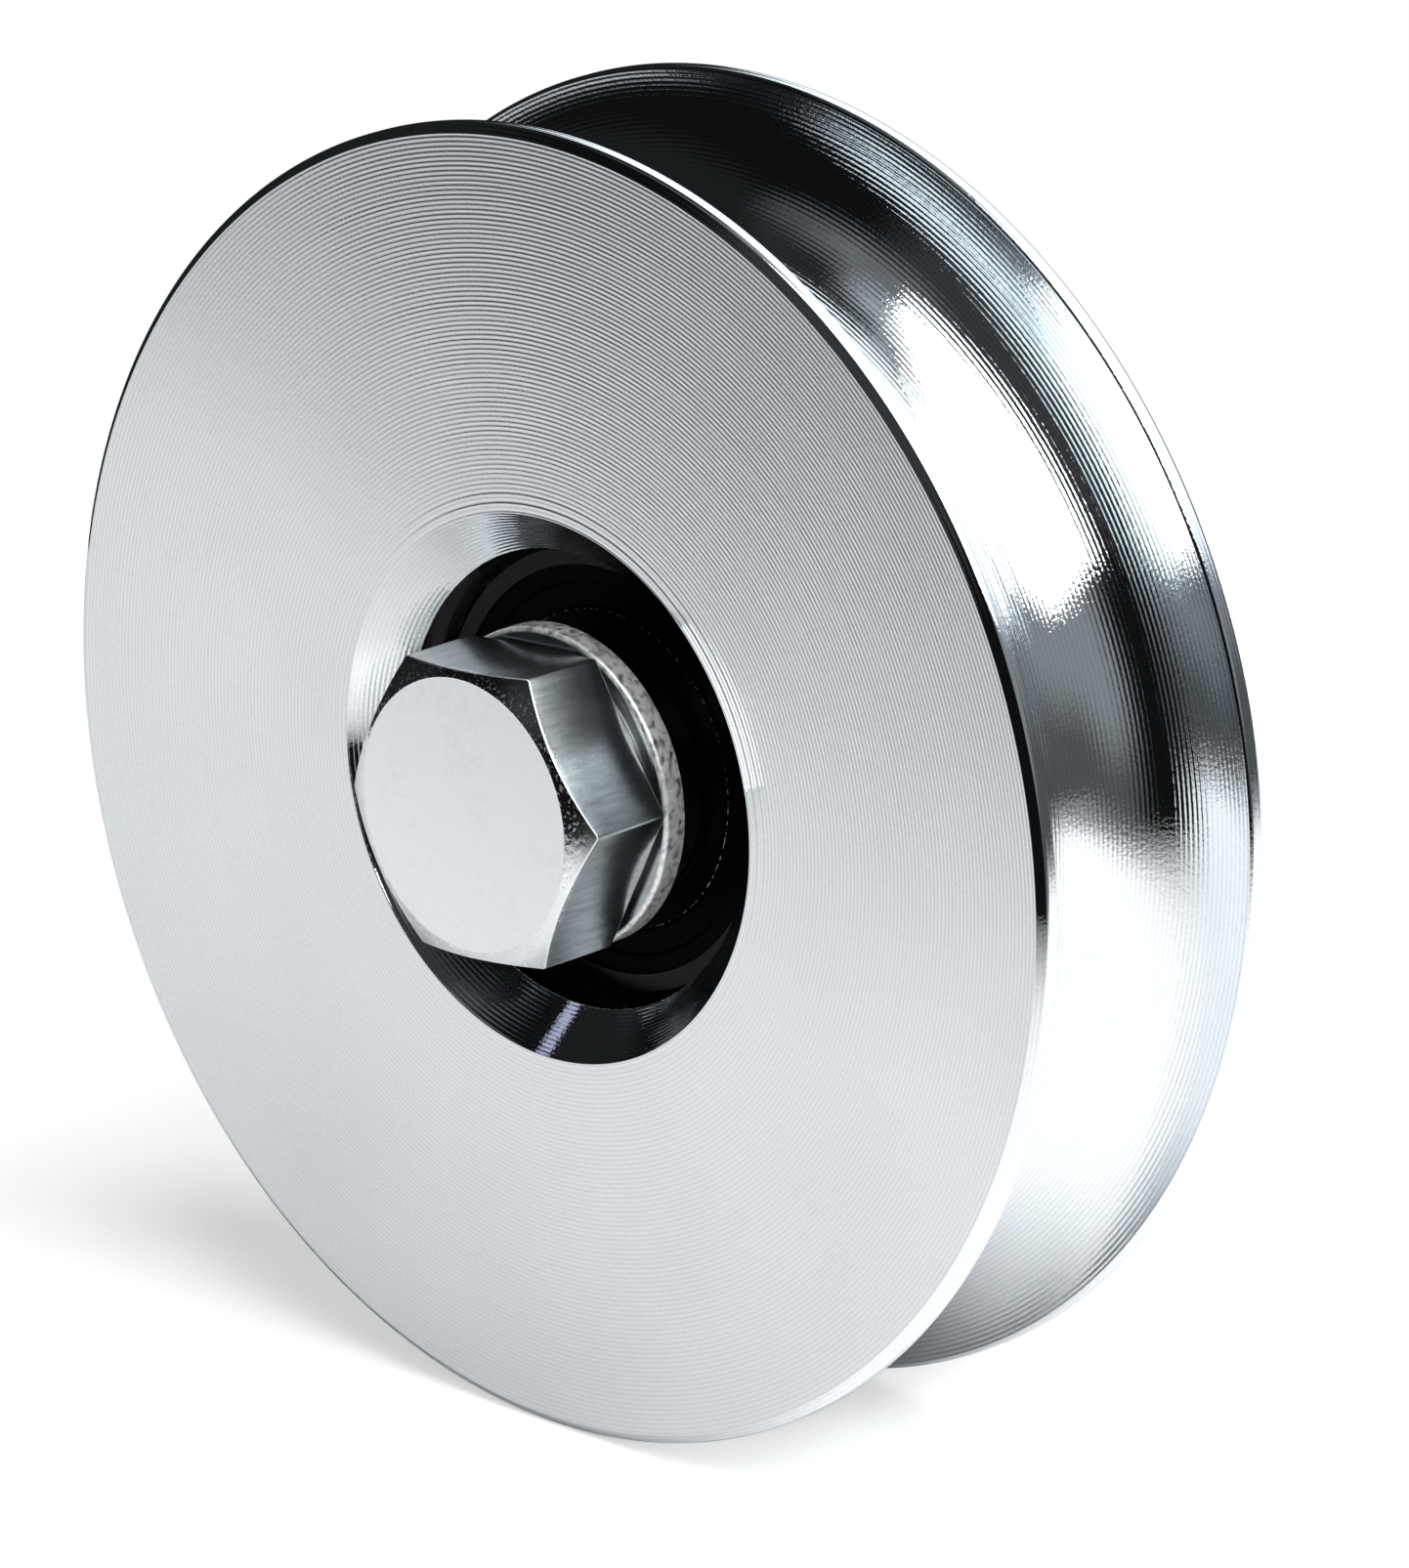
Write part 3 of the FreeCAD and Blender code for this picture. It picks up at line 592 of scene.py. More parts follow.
washer = lathe("washer", *washer_outline(), RING_AROUND)
front_outline = sleeve_outline(SPACER_BORE, SPACER_RADIUS, SPACER_FRONT, SPACER_BACK, SPACER_BEVEL)
rear_outline = sleeve_outline(SPACER_BORE, SPACER_RADIUS, REAR_SPACER_START, REAR_SPACER_END, SPACER_BEVEL)
front_spacer = lathe("front_sleeve", *front_outline, RING_AROUND)
rear_spacer = lathe("rear_sleeve", *rear_outline, RING_AROUND)
stand_for(washer, "axle", "head_washer")
stand_for(front_spacer, "axle", "front_spacer")
stand_for(rear_spacer, "axle", "rear_spacer")

# %% [markdown]
# ## Hexagons
# A bolt's head is a hexagon cut by a cone. Written as a radius for every turn, the hexagon's side is the
# half width divided by a cosine, and each corner is a small round. The cone rises evenly with that radius,
# and where the two meet the scalloped edge of every bolt head appears by itself. The angles crowd together
# at the corners, where the shape bends.

# %% Hexagon helpers
WRENCH_HALF = 11.0
WRENCH_DISC = 10.45
WRENCH_CONE = math.tan(math.radians(30))
WRENCH_ROUND = 0.35
SIXTH = math.radians(60)
CORNER_CENTRE = (WRENCH_HALF - WRENCH_ROUND) / math.cos(SIXTH / 2)
CORNER_BEND = math.atan2(
    WRENCH_ROUND * math.sin(SIXTH / 2),
    CORNER_CENTRE + WRENCH_ROUND * math.cos(SIXTH / 2),
)
CORNER_TURNS, SIDE_TURNS = 9, 14


def hexagon_turns(first_corner):
    """Turns round a hexagon, crowded in each corner's round and spread along each side."""
    bend = np.linspace(-CORNER_BEND, CORNER_BEND, CORNER_TURNS)
    side = np.linspace(CORNER_BEND, SIXTH - CORNER_BEND, SIDE_TURNS + 2)[1:-1]
    return (first_corner + np.arange(6)[:, None] * SIXTH + np.concatenate([bend, side])).ravel()


def hexagon(turn, first_corner):
    """Radius of a rounded hexagon at each turn, and the heading of its normal.

    A side at h from the middle lies at h / cos(turn from the side's middle). In a corner whose round q is
    centred at c, the radius is c cos(a) + sqrt(q * q - (c sin(a)) ** 2), with a the turn from the corner.
    """
    aside = (turn - first_corner + SIXTH / 2) % SIXTH - SIXTH / 2
    side = WRENCH_HALF / np.cos(SIXTH / 2 - np.abs(aside))
    inside = np.clip(WRENCH_ROUND**2 - (CORNER_CENTRE * np.sin(aside)) ** 2, 0, None)
    corner = CORNER_CENTRE * np.cos(aside) + np.sqrt(inside)
    in_corner = np.abs(aside) <= CORNER_BEND
    radius = np.where(in_corner, corner, side)
    lean = np.arcsin(np.clip(radius * np.sin(aside) / WRENCH_ROUND, -0.5, 0.5))
    heading = turn - aside + np.where(in_corner, lean, np.sign(aside) * SIXTH / 2)
    return radius, heading


def stack_profile(turn, heading, outline, normal, on_hexagon):
    """Points and normals of one outline per turn; on_hexagon is how far a point's normal follows a side."""
    leaning = turn[:, None] + on_hexagon * (heading - turn)[:, None]
    points = round_axle(outline[..., 0], outline[..., 1], turn[:, None])
    normals = round_axle(normal[..., 0], normal[..., 1], leaning)
    return points.swapaxes(0, 1), normals.swapaxes(0, 1)


def repeated(corners, count):
    """The same or changing corners for each of a number of turns, as one array."""
    rows = [[np.broadcast_to(number, (count,)) for number in corner] for corner in corners]
    return np.array(rows, float).transpose(2, 0, 1)


print("hexagons:", len(hexagon_turns(0.0)), "turns round each")

# %% [markdown]
# ## The nut
# Bevelled at both ends, with a lead-in at each end of its bore.

# %% Nut
NUT_TURN = math.radians(20)
NUT_BORE = 7.0
NUT_LEAD = 0.8
WRENCH_EDGE = 0.18
NUT_SIDE = (4, 5)


def make_nut():
    """One outline per turn: bore, lead-in, end face, cone, side, and back to the bore."""
    turn = hexagon_turns(NUT_TURN)
    radius, heading = hexagon(turn, NUT_TURN)
    slope = (radius - WRENCH_DISC) * WRENCH_CONE
    corners = [
        (NUT_BORE, NUT_FRONT + NUT_LEAD, WRENCH_EDGE),
        (NUT_BORE, NUT_REAR - NUT_LEAD, WRENCH_EDGE),
        (NUT_BORE + NUT_LEAD, NUT_REAR, WRENCH_EDGE),
        (WRENCH_DISC, NUT_REAR, WRENCH_EDGE),
        (radius, NUT_REAR - slope, WRENCH_EDGE),
        (radius, NUT_FRONT + slope, WRENCH_EDGE),
        (WRENCH_DISC, NUT_FRONT, WRENCH_EDGE),
        (NUT_BORE + NUT_LEAD, NUT_FRONT, WRENCH_EDGE),
    ]
    outline, normal = rounded(repeated(corners, len(turn)))
    follow = np.zeros((len(corners), ARC_POINTS))
    follow[NUT_SIDE[0]] = np.linspace(0, 1, ARC_POINTS)
    follow[NUT_SIDE[1]] = np.linspace(1, 0, ARC_POINTS)
    points, normals = stack_profile(turn, heading, outline, normal, follow.ravel())
    along = travelled(outline).T
    faces = grid_faces(len(points), len(turn), closed=True)
    uv = grid_uv(along, turn, closed=True)
    # The edges by the sides are marked: worn zinc, drawn lighter as a painted edge highlight.
    wear_and_glint = np.repeat(wear_and_glint_corners(len(corners), list(NUT_SIDE)), len(turn))
    return surface("nut", points.reshape(-1, 3), faces, uv, normals.reshape(-1, 3), wear_and_glint)


nut = make_nut()
stand_for(nut, "axle", "clamp_nut")

# %% [markdown]
# ## The bolt
# Head, washer face and shank are outlines again. The thread is a sheared grid: each column of points starts
# a little further along the axle than the one before, so that a full turn comes out exactly one pitch
# further on, where it meets the next row of the first column. Points that would pass the thread's ends are
# held there, and welding closes them into plain rings.

# %% Bolt
HEAD_TURN = math.radians(4)
HEAD_BASE = -12.3
WASHER_FACE = 10.25
SHANK_RADIUS = 7.0
SHANK_END = 20.0
THREAD_START = 21.0
THREAD_PITCH = 2.0
THREAD_DEPTH = 1.2
THREAD_RUNOUT = 2.0
TIP_BEVEL = 1.2
TIP_EDGE = 0.15
NECK_ROUND = 0.3
HEAD_SIDE = (6, 7)
RIDGE = np.array([0.0, 0.0625, 0.375, 0.5, 0.625, 0.9375])
RIDGE_DEPTH = np.array([0.0, 0.0, 0.93, 1.0, 0.93, 0.0])


def thread_rows(turn):
    """The thread as a sheared grid, and the corner numbers of its faces.

    A point's place along the axle is the thread's end less the pitch times (its turn and its row's phase).
    Its depth follows the ridge outline, fades out towards the shank and never rises above the end's cone.
    """
    rows_per_pitch = len(RIDGE)
    pitches = math.ceil((BOLT_END - THREAD_START) / THREAD_PITCH)
    number = np.arange(-rows_per_pitch, (pitches + 1) * rows_per_pitch + 1)
    phase = number // rows_per_pitch + RIDGE[number % rows_per_pitch]
    share = (turn - turn[0]) / (2 * math.pi)
    height = BOLT_END - THREAD_PITCH * (phase[:, None] + share)
    height = np.clip(height, THREAD_START, BOLT_END)
    fade = np.clip((height - THREAD_START) / THREAD_RUNOUT, 0, 1)
    radius = THREAD_RADIUS - THREAD_DEPTH * RIDGE_DEPTH[number % rows_per_pitch][:, None] * fade
    radius = np.minimum(radius, THREAD_RADIUS - TIP_BEVEL + BOLT_END - height)
    points = round_axle(radius, height, turn)
    rows, columns = height.shape
    row, column = np.meshgrid(np.arange(rows - 1), np.arange(columns), indexing="ij")
    ahead = np.where(column == columns - 1, row + rows_per_pitch, row)
    beside = (column + 1) % columns
    kept = ahead + 1 < rows
    corners = [
        row * columns + column,
        ahead * columns + beside,
        (ahead + 1) * columns + beside,
        (row + 1) * columns + column,
    ]
    along = BOLT_END - height
    return points, along, np.stack(corners, axis=-1)[kept]


def make_bolt():
    """End disc, thread, and one outline per turn from the thread to the middle of the head."""
    turn = hexagon_turns(HEAD_TURN)
    count = len(turn)
    radius, heading = hexagon(turn, HEAD_TURN)
    slope = (radius - WRENCH_DISC) * WRENCH_CONE
    corners = [
        (THREAD_RADIUS, THREAD_START, 0.0),
        (THREAD_RADIUS, SHANK_END + NECK_ROUND, BORE_EDGE),
        (SHANK_RADIUS, SHANK_END, BORE_EDGE),
        (SHANK_RADIUS, WASHER_FRONT, NECK_ROUND),
        (WASHER_FACE, WASHER_FRONT, WRENCH_EDGE),
        (WASHER_FACE, HEAD_BASE, WRENCH_EDGE),
        (radius, HEAD_BASE, WRENCH_EDGE),
        (radius, BOLT_FRONT + slope, WRENCH_EDGE),
        (WRENCH_DISC, BOLT_FRONT, WRENCH_EDGE),
        (0.0, BOLT_FRONT, 0.0),
    ]
    outline, normal = rounded(repeated(corners, count))
    follow = np.zeros((len(corners), ARC_POINTS))
    follow[HEAD_SIDE[0]] = 1
    follow[HEAD_SIDE[1]] = np.linspace(1, 0, ARC_POINTS)
    points, normals = stack_profile(turn, heading, outline, normal, follow.ravel())
    along = travelled(outline).T + BOLT_END - THREAD_START
    thread, thread_along, thread_faces = thread_rows(turn)
    tip_radius = np.array([[0.0], [THREAD_RADIUS - TIP_BEVEL - TIP_EDGE]])
    tip = round_axle(tip_radius, BOLT_END, turn)
    end = np.concatenate([tip, thread[:1]])
    blocks = [end, thread, points]
    first = np.cumsum([0] + [block.shape[0] * count for block in blocks])
    faces = np.concatenate([
        grid_faces(len(end), count, closed=False),
        thread_faces + first[1],
        grid_faces(len(points), count, closed=False) + first[2],
    ])
    level = np.concatenate([np.zeros(len(end) * count), thread_along.ravel(), along.ravel()])
    bearing = np.tile(turn / (2 * math.pi), len(level) // count)
    uv = np.stack([level[faces], bearing[faces]], axis=-1)
    wrapped = uv[..., 1] < uv[..., 1].max(axis=1, keepdims=True) - 0.5
    uv[..., 1] += wrapped
    everything = np.concatenate([block.reshape(-1, 3) for block in blocks])
    facing = np.concatenate([np.zeros((first[2], 3)), normals.reshape(-1, 3)])
    facing[:len(tip) * count, 1] = 1
    # The edge between the sides and the bevel is marked: worn zinc, drawn lighter as a painted edge
    # highlight.
    head_wear_and_glint = np.repeat(wear_and_glint_corners(len(corners), [HEAD_SIDE[1]]), count)
    wear_and_glint = np.concatenate([np.zeros(first[2]), head_wear_and_glint])
    return surface("bolt", everything, faces, uv, facing, wear_and_glint)


bolt = make_bolt()
stand_for(bolt, "axle", "axle_bolt")

# %% [markdown]
# ## Plated fasteners
# Bolt, nut, washer and spacers have thinner, duller zinc than the wheel: tumbled in a drum, they come out
# with a fine grain and a soft sheen. The grain is noise in the point's own place, and the roughness varies
# with larger clouds of it.

# %% Plated finishes
SLEEVE_DULL, SLEEVE_GREY = (0.63, 0.639, 0.648), (0.70, 0.71, 0.72)
STAMPED_GREY, TORN_WHITE = (0.50, 0.52, 0.53), (0.99, 0.99, 0.99)
FORGED_LIGHT, FORGED_DULL = (0.86, 0.89, 0.91), (0.47, 0.51, 0.52)
BRUSH_STRETCH = (1.0, 0.12, 1.0)


def sleeve_zinc():
    """Zinc on a turned sleeve: even, with a fine grain."""
    material, tree, shader = new_finish("spacer_zinc")
    clouds = speckle(tree, own_place(tree), 220.0, 4.0)
    grain = speckle(tree, own_place(tree), 1200.0, 2.0)
    wire(tree, shader, Base_Color=mixed(tree, clouds, SLEEVE_DULL, SLEEVE_GREY), Metallic=1.0,
         Roughness=between(tree, clouds, 0.084, 0.156))
    raise_by(tree, shader, product(tree, grain, 0.002))
    return material


def stamped_zinc():
    """Zinc on a stamped washer: smooth and dark on its faces, torn and rough round its edge."""
    material, tree, shader = new_finish("washer_zinc")
    torn = speckle(tree, own_place(tree), 1800.0, 3.0)
    edge = eased(tree, from_axle(tree), (WASHER_RADIUS - 0.5) * MM, (WASHER_RADIUS - 0.2) * MM, 1.0)
    shade = product(tree, edge, eased(tree, torn, 0.25, 0.6, 1.0))
    wire(tree, shader, Base_Color=mixed(tree, shade, STAMPED_GREY, TORN_WHITE),
         Roughness=between(tree, edge, 0.20, 0.37), Metallic=between(tree, shade, 1.0, 0.5))
    raise_by(tree, shader, product(tree, torn, between(tree, edge, 0.002, 0.03)))
    return material


def fastener_zinc():
    """Zinc on a forged head: even on its end, speckled on the bevel, dull on its sides, light on its side
    edges as wear and a painted highlight.
    """
    material, tree, shader = new_finish("bolt_zinc")
    place = own_place(tree)
    height = parts(tree, place)["Y"]
    side = eased(tree, height, (BOLT_FRONT + 0.3) * MM, (BOLT_FRONT + 1.1) * MM, 1.0)
    outside = eased(tree, from_axle(tree), (WRENCH_DISC - 0.1) * MM, WRENCH_DISC * MM, 1.0)
    bevel = sum_up(tree, "SUBTRACT", outside, side)
    clouds = speckle(tree, place, 260.0, 4.0)
    brushed = speckle(tree, vector_sum(tree, "MULTIPLY", place, BRUSH_STRETCH)["Vector"], 2600.0, 2.0)
    grain = speckle(tree, place, 2400.0, 2.0)
    dull = product(tree, side, between(tree, brushed, 0.2, 1.4))
    specks = product(tree, eased(tree, speckle(tree, place, 4200.0, 2.0), 0.56, 0.66, 1.0), bevel)
    # The edges by the sides are lighter and rougher: partly worn zinc, partly a painted edge highlight.
    bare_and_edge_glint = sum_up(tree, "MAXIMUM", specks, wear_and_glint_edge(tree))
    shade = sum_up(tree, "MULTIPLY_ADD", clouds, -0.4, sum_up(tree, "MULTIPLY_ADD", dull, 0.8, 0.02))
    shade = sum_up(tree, "MULTIPLY_ADD", grain, 0.36, sum_up(tree, "SUBTRACT", shade, bare_and_edge_glint))
    rough = sum_up(tree, "MULTIPLY_ADD", side, 0.08, between(tree, clouds, 0.07, 0.15))
    wire(tree, shader, Base_Color=mixed(tree, shade, FORGED_LIGHT, FORGED_DULL), Metallic=1.0,
         Roughness=sum_up(tree, "MULTIPLY_ADD", bare_and_edge_glint, 0.32, rough))
    pits = product(tree, grain, between(tree, bevel, 0.001, 0.022))
    strokes = product(tree, brushed, between(tree, side, 0.0, 0.008))
    raise_by(tree, shader, sum_up(tree, "ADD", pits, strokes))
    return material


forged, stamped, turned = fastener_zinc(), stamped_zinc(), sleeve_zinc()
plated = {bolt: forged, nut: forged, washer: stamped, front_spacer: turned, rear_spacer: turned}
for piece, finish in plated.items():
    piece.data.materials.append(finish)
    print(piece.name, "has", finish.name)

# %% [markdown]
# ## Inside the bearing
# Rings, balls, cage and rivets stay as the imported solids, because hardly anything of them can be seen. They
# only get finishes: steel painted nearly black for the rings, as painted shade deep in the recess, polished
# steel for the balls and pressed sheet for the cage.

# %% Bearing finishes


def steel(name, scale, low, high, roughness):
    """Steel whose tone and roughness vary with noise of a scale per metre."""
    material, tree, shader = new_finish(name)
    clouds = speckle(tree, own_place(tree), scale, 3.0)
    wire(tree, shader, Base_Color=mixed(tree, clouds, low, high), Metallic=1.0,
         Roughness=between(tree, clouds, 0.8 * roughness, 1.25 * roughness))
    return material


# The rings' steel is painted nearly black, as painted shade deep in the recess.
shaded_ring_steel = steel("bearing_steel", 400.0, (0.010, 0.010, 0.011), (0.018, 0.018, 0.020), 0.25)
ball_steel = steel("ball_steel", 300.0, (0.62, 0.62, 0.63), (0.66, 0.66, 0.67), 0.08)
cage_steel = steel("cage_steel", 600.0, (0.48, 0.47, 0.46), (0.58, 0.57, 0.55), 0.35)
inside = {"bearing_outer_ring": shaded_ring_steel, "bearing_inner_ring": shaded_ring_steel}
inside.update({f"ball_{number}": ball_steel for number in range(1, 9)})
inside.update({name: cage_steel for name in ("cage_front_half", "cage_rear_half", "cage_rivets")})
for name, finish in inside.items():
    slots = frame["nodes"][name].data.materials
    for index in range(len(slots)):
        slots[index] = finish
print("bearing: finishes on", len(inside), "solids")

# %% [markdown]
# ## Camera
# The camera stands to the right of the wheel and a little above it, far away with a long lens, so that the
# near and far rims come out almost the same size.

# %% Camera
CAMERA_PLACE = (0.6875, -0.7058, 0.3221)
CAMERA_TURN = 44.05
CAMERA_DOWN = 18.23
LENS = 320.3
SENSOR = 36.0
camera_data = bpy.data.cameras.new("camera")
camera_data.sensor_fit = "VERTICAL"
camera_data.sensor_height = SENSOR
camera_data.lens = LENS
camera = bpy.data.objects.new("camera", camera_data)
camera.location = CAMERA_PLACE
camera.rotation_euler = (math.radians(90 - CAMERA_DOWN), 0.0, math.radians(CAMERA_TURN))
bpy.context.scene.collection.objects.link(camera)
bpy.context.scene.camera = camera
print("camera:", CAMERA_PLACE)

# %% [markdown]
# ## The studio
# Bright metal has hardly any colour of its own: it shows the room. So the room gets as much care as the
# wheel: a pale table, a tent of cloth, one large softbox and a small lamp, all of them sheets that glow.
# A zone of light is three numbers: it eases in from the first to the second, and the third is its strength.

# %% Studio helpers
WHITE = (1, 1, 1, 1)


def heading(turn, up):
    """Unit vector from the wheel's centre: turn 0 faces -Y and 90 faces +X, up is above the horizon."""
    turn, up = math.radians(turn), math.radians(up)
    return Vector((math.sin(turn) * math.cos(up), -math.cos(turn) * math.cos(up), math.sin(up)))


def link_stage(name, points, faces, material):
    """A piece of the studio, not of the wheel."""
    mesh = bpy.data.meshes.new(name)
    mesh.from_pydata(points, [], faces)
    mesh.materials.append(material)
    piece = bpy.data.objects.new(name, mesh)
    bpy.context.scene.collection.objects.link(piece)
    return piece


def only_mirrored(piece):
    """Hide a piece from the camera, from scattered light and from shadows, but not from mirrors."""
    piece.visible_camera = False
    piece.visible_diffuse = False
    piece.visible_shadow = False


# %% [markdown]
# ## The table
# The wheel stands on pale paper, which takes its shadow. The wheel's face mirrors the paper, and what looks
# like shading on the face is painted shade on the paper, which is painted greyer towards the camera and to
# the right. Under the wheel the paper is painted darker too, as painted shade where little light gets in. To
# the camera it glows up to white, and in mirrors its left and right parts glow a little more.

# %% Table
PAPER_WHITE = (0.91, 0.91, 0.91)
CAMERA_SIDE = 44.0
FRONT_TURN = 18.0
FRONT_PAINTED_SHADE = (0.06, 0.185, 0.60)
AHEAD_RISE, RIGHT_RISE = (8.0, -0.48), (5.0, -0.5)
OUTER_PAINTED_SHADE = (0.55, 1.35, 0.78)
CONTACT_SHADE_X = ((0.019, 0.010, 0.5), (-0.02, -0.008, 1.0))
CONTACT_SHADE_Y = ((-0.010, 0.0, 1.0), (0.030, 0.015, 1.0))
LEFT_GLOW = (0.03, -0.38, 0.46)
RIGHT_GLOW = (0.012, 0.032, 0.27)
FAR_GLOW = (0.14, 0.30, 0.5)
TABLE_GLOW = 0.50
GREY_GLOW = 0.60
TABLE_EDGE = ((0.34, 0.45), (0.34, 0.267), (-0.103, -0.65), (-0.22, -0.65), (-0.22, 0.45))


def paper_tone(tree, place):
    """How pale the paper is, from 0 to 1, greyed by painted shade, and how far to the camera's right each
    point lies.
    """

    def along(turn):
        """How far a point lies in a direction."""
        return vector_sum(tree, "DOT_PRODUCT", place, heading(turn, 0))["Value"]

    right = along(CAMERA_SIDE + 90)
    ahead = sum_up(tree, "MAXIMUM", sum_up(tree, "MULTIPLY_ADD", along(CAMERA_SIDE), *AHEAD_RISE), 0.0)
    beyond = sum_up(tree, "MAXIMUM", sum_up(tree, "MULTIPLY_ADD", right, *RIGHT_RISE), 0.0)
    out = sum_up(tree, "MULTIPLY_ADD", ahead, ahead, product(tree, beyond, beyond))
    # Painted shade: the paper greys towards the camera, to its right and to the front.
    out = eased(tree, sum_up(tree, "POWER", out, 0.5), *OUTER_PAINTED_SHADE)
    front = eased(tree, along(FRONT_TURN), *FRONT_PAINTED_SHADE)
    grain = between(tree, speckle(tree, place, 40.0), 0.98, 1.0)
    return product(tree, rest_of(tree, front), rest_of(tree, out), grain), right


def table_finish():
    """Pale paper, painted darker beneath the wheel as shade, which glows to the camera and where it is
    mirrored.
    """
    material, tree, shader = new_finish("table_white")
    place = own_place(tree)
    paper, right = paper_tone(tree, place)
    x, y, _ = parts(tree, place)
    # Painted shade beneath the wheel, darkening the paper's colour.
    painted_contact_shade = [eased(tree, x, *zone) for zone in CONTACT_SHADE_X] + [eased(tree, y, *zone) for zone in CONTACT_SHADE_Y]
    lit = product(tree, paper, rest_of(tree, product(tree, *painted_contact_shade)))
    sides = sum_up(tree, "ADD", eased(tree, x, *RIGHT_GLOW), eased(tree, right, *LEFT_GLOW))
    path = put(tree, "ShaderNodeLightPath").outputs
    mirrored = product(tree, path["Is Glossy Ray"], product(tree, paper, sides))
    far = eased(tree, vector_sum(tree, "LENGTH", place)["Value"], *FAR_GLOW)
    seen = sum_up(tree, "MULTIPLY_ADD", paper, -GREY_GLOW, far)
    seen = sum_up(tree, "ADD", seen, TABLE_GLOW + GREY_GLOW)
    wire(tree, shader, Base_Color=mixed(tree, lit, (0.0, 0.0, 0.0), PAPER_WHITE), Roughness=0.8,
         Specular_IOR_Level=0.0, Emission_Color=WHITE,
         Emission_Strength=sum_up(tree, "MULTIPLY_ADD", path["Is Camera Ray"], seen, mirrored))
    return material


toward = np.array(heading(CAMERA_SIDE, 0))[:2]
rightward = np.array(heading(CAMERA_SIDE + 90, 0))[:2]
corners = np.array(TABLE_EDGE)
edge = corners[:, :1] * toward + corners[:, 1:] * rightward
link_stage("table", np.insert(edge, 2, -WHEEL_RADIUS * MM, axis=1), [range(len(edge))], table_finish())
print("table:", len(edge), "corners")

# %% [markdown]
# ## The tent
# Cloth round the table is black in front, grey to the right, dim overhead and pale behind, so that the
# groove has white, grey and black to mirror. Its faint blue is the zinc's tint. The camera doesn't see the
# tent, only white beyond the table, and scattered light comes evenly from the world instead.

# %% Tent
TENT_RADIUS = 1.3
TENT_FLOOR = -14.0
TENT_ROWS, TENT_COLUMNS = 40, 96
TENT_TINT = (0.87, 0.95, 1.0, 1)
TENT_BLACK = 0.006
GREY_TURN, GREY_LIFT, GREY_UP = (44.0, 62.0, 0.28), (72.0, 92.0, 10.0), (-7.0, 8.0, 1.0)
ROOF_UP, ROOF_SHADE, TOP_UP = (48.0, 62.0, 0.18), (-50.0, -85.0, 0.85), (75.0, 85.0, 0.32)
PALE_BEHIND, PALE_UP = (0.62, 0.76, 1.5), (14.0, 24.0, 1.0)
GROUND_UP, GROUND_X, GROUND_TURN = (-2.0, -14.0, 0.25), (0.3, -0.2, 1.0), (-85.0, -65.0, 1.0)
AHEAD_TURN, AHEAD_UP = (-32.0, -14.0, 0.045), (14.0, 26.0, 1.0)
LEFT_TURN = (-50.0, -66.0, 0.015)


def tent_finish():
    """Cloth that glows as the brightest of its zones, by the turn and height of its own place."""
    material, tree, shader = new_finish("studio_tent")
    place = own_place(tree)
    x, y, z = parts(tree, vector_sum(tree, "NORMALIZE", place)["Vector"])
    turn = sum_up(tree, "DEGREES", sum_up(tree, "ARCTAN2", x, product(tree, y, -1.0)))
    up = sum_up(tree, "DEGREES", sum_up(tree, "ARCSINE", z))
    raised = sum_up(tree, "SUBTRACT", up, eased(tree, turn, *GREY_LIFT))
    rising = between(tree, eased(tree, raised, *GREY_UP), 0.35, 1.0)
    grey = product(tree, eased(tree, turn, *GREY_TURN), rising)
    folds = between(tree, speckle(tree, place, 4.0, 3.0), 0.2, 1.8)
    shaded = rest_of(tree, eased(tree, turn, *ROOF_SHADE))
    roof = product(tree, eased(tree, up, *ROOF_UP), shaded, folds)
    roof = sum_up(tree, "ADD", roof, eased(tree, up, *TOP_UP))
    behind = sum_up(tree, "MULTIPLY_ADD", z, 0.3, y)
    pale = product(tree, eased(tree, behind, *PALE_BEHIND), eased(tree, up, *PALE_UP))
    ground = product(tree, eased(tree, up, *GROUND_UP), eased(tree, x, *GROUND_X))
    ground = product(tree, ground, eased(tree, turn, *GROUND_TURN))
    ahead = product(tree, eased(tree, turn, *AHEAD_TURN), eased(tree, up, *AHEAD_UP))
    brightest = eased(tree, turn, *LEFT_TURN)
    for glow in (TENT_BLACK, grey, roof, pale, ground, ahead):
        brightest = sum_up(tree, "MAXIMUM", brightest, glow)
    wire(tree, shader, Base_Color=(0, 0, 0, 1), Specular_IOR_Level=0.0,
         Emission_Color=TENT_TINT, Emission_Strength=brightest)
    return material


def tent_points():
    """A ball of cloth cut off below the table: radius times the cosine and sine of turn and height."""
    turn = np.linspace(0, 2 * math.pi, TENT_COLUMNS, endpoint=False)
    up = np.radians(np.linspace(90, TENT_FLOOR, TENT_ROWS))[:, None]
    spread, level = TENT_RADIUS * np.cos(up), TENT_RADIUS * np.sin(up)
    points = np.broadcast_arrays(spread * np.cos(turn), spread * np.sin(turn), level)
    return np.stack(points, axis=-1).reshape(-1, 3)


walls, cloth = tent_points(), tent_finish()
only_mirrored(link_stage("tent", walls, grid_faces(TENT_ROWS, TENT_COLUMNS, closed=False), cloth))
only_mirrored(link_stage("tent_floor", walls[-TENT_COLUMNS:], [range(TENT_COLUMNS)], cloth))
print("tent:", len(walls), "points")

# %% [markdown]
# ## The softbox
# One large softbox above and to the right gives nearly all the light, and its mirror image is the white in
# the groove. Its six corners are set so that the image ends where it should.

# %% Softbox
SOFTBOX_FRONT = ((0.13, -0.318), (-0.40, -0.277), (-0.215, 0.262))
SOFTBOX_BACK = ((-0.04, 0.24), (0.36, 0.105), (0.37, -0.205))
SOFTBOX_AWAY = 0.50
SOFTBOX_TURN = 79.0
SOFTBOX_UP = 60.0
SOFTBOX_GLOW = 3.9


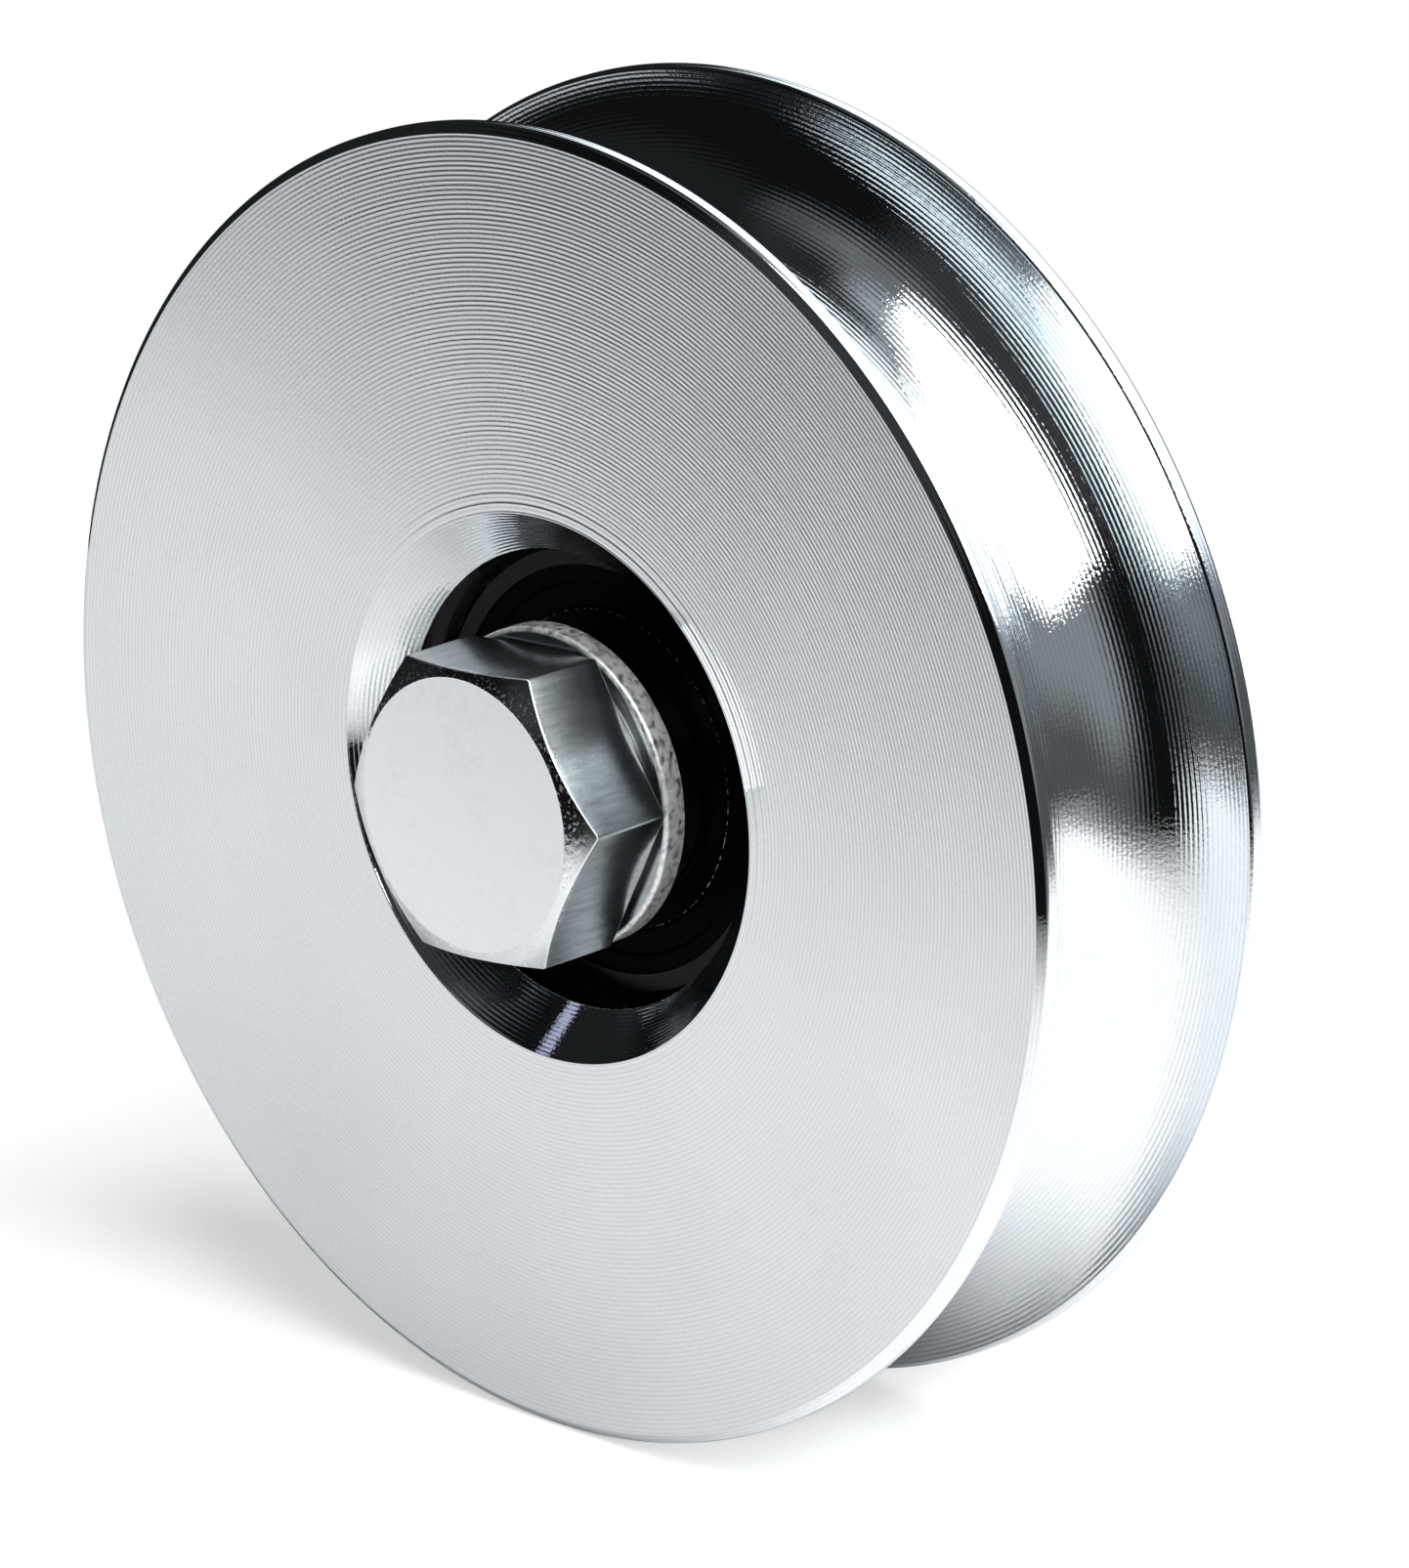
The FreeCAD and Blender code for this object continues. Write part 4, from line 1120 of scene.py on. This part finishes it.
def softbox_finish():
    """White cloth lit from behind, not quite evenly."""
    material, tree, shader = new_finish("softbox_cloth")
    cloth = speckle(tree, own_place(tree), 3.0)
    wire(tree, shader, Emission_Color=WHITE,
         Emission_Strength=between(tree, cloth, 0.96 * SOFTBOX_GLOW, 1.04 * SOFTBOX_GLOW))
    return material


away = heading(SOFTBOX_TURN, SOFTBOX_UP)
beside = Vector((0, 0, 1)).cross(away).normalized()
above = away.cross(beside)
outline = SOFTBOX_FRONT + SOFTBOX_BACK
corners = [away * SOFTBOX_AWAY + beside * wide + above * high for wide, high in outline]
softbox = link_stage("softbox", corners, [range(len(corners))], softbox_finish())
softbox.visible_camera = False
print("softbox:", len(corners), "corners")

# %% [markdown]
# ## The strip lamp
# A small violet lamp close to the wheel draws the narrow stripe in the mouth's cone. It shines from its
# front only: seen from behind it is clear, so that the wheel's face doesn't mirror it.

# %% Strip lamp
STRIP_PLACE = Vector((-0.0533, -0.0375, 0.0365))
STRIP_TALL = Vector((0.0, 0.9, 0.436))
STRIP_FACING = Vector((-0.3, 0.416, -0.859))
STRIP_SIZE = (0.0110, 0.0120)
STRIP_GLOW = 0.42
STRIP_VIOLET = (0.30, 0.38, 1.0, 1)


def strip_finish():
    """Violet lamp, strongest in its middle, that shines from its front only."""
    material, tree, shader = new_finish("strip_lamp")
    off = vector_sum(tree, "DISTANCE", own_place(tree), STRIP_PLACE)["Value"]
    from_behind = put(tree, "ShaderNodeNewGeometry").outputs["Backfacing"]
    wire(tree, shader, Emission_Color=STRIP_VIOLET, Alpha=rest_of(tree, from_behind),
         Emission_Strength=eased(tree, off, STRIP_SIZE[1], 0.0, STRIP_GLOW))
    return material


across = STRIP_TALL.cross(STRIP_FACING).normalized() * STRIP_SIZE[0]
upward = STRIP_TALL * STRIP_SIZE[1]
halves = ((-0.5, -0.5), (0.5, -0.5), (0.5, 0.5), (-0.5, 0.5))
corners = [STRIP_PLACE + across * wide + upward * high for wide, high in halves]
only_mirrored(link_stage("strip_lamp", corners, [range(len(corners))], strip_finish()))
print("strip lamp:", STRIP_SIZE, "metres")

# %% [markdown]
# ## The world
# The world is white to the camera and in mirrors, and a faint, even fill to everything else.

# %% World
WORLD_FILL = 0.10
world = bpy.data.worlds.new("studio")
world.use_nodes = True
bpy.context.scene.world = world
tree = world.node_tree
white = tree.nodes["Background"]
wire(tree, white, Color=WHITE)
fill = put(tree, "ShaderNodeBackground", Color=WHITE, Strength=WORLD_FILL)
path = put(tree, "ShaderNodeLightPath").outputs
seen = sum_up(tree, "MAXIMUM", path["Is Camera Ray"], path["Is Glossy Ray"])
seen = sum_up(tree, "MAXIMUM", seen, path["Is Transmission Ray"])
room = put(tree, "ShaderNodeMixShader", _0=seen, _1=fill.outputs[0], _2=white.outputs[0])
wire(tree, tree.nodes["World Output"], Surface=room.outputs[0])
bpy.context.scene.view_settings.view_transform = "Standard"
print("light: one softbox, one strip and an even fill of", WORLD_FILL)
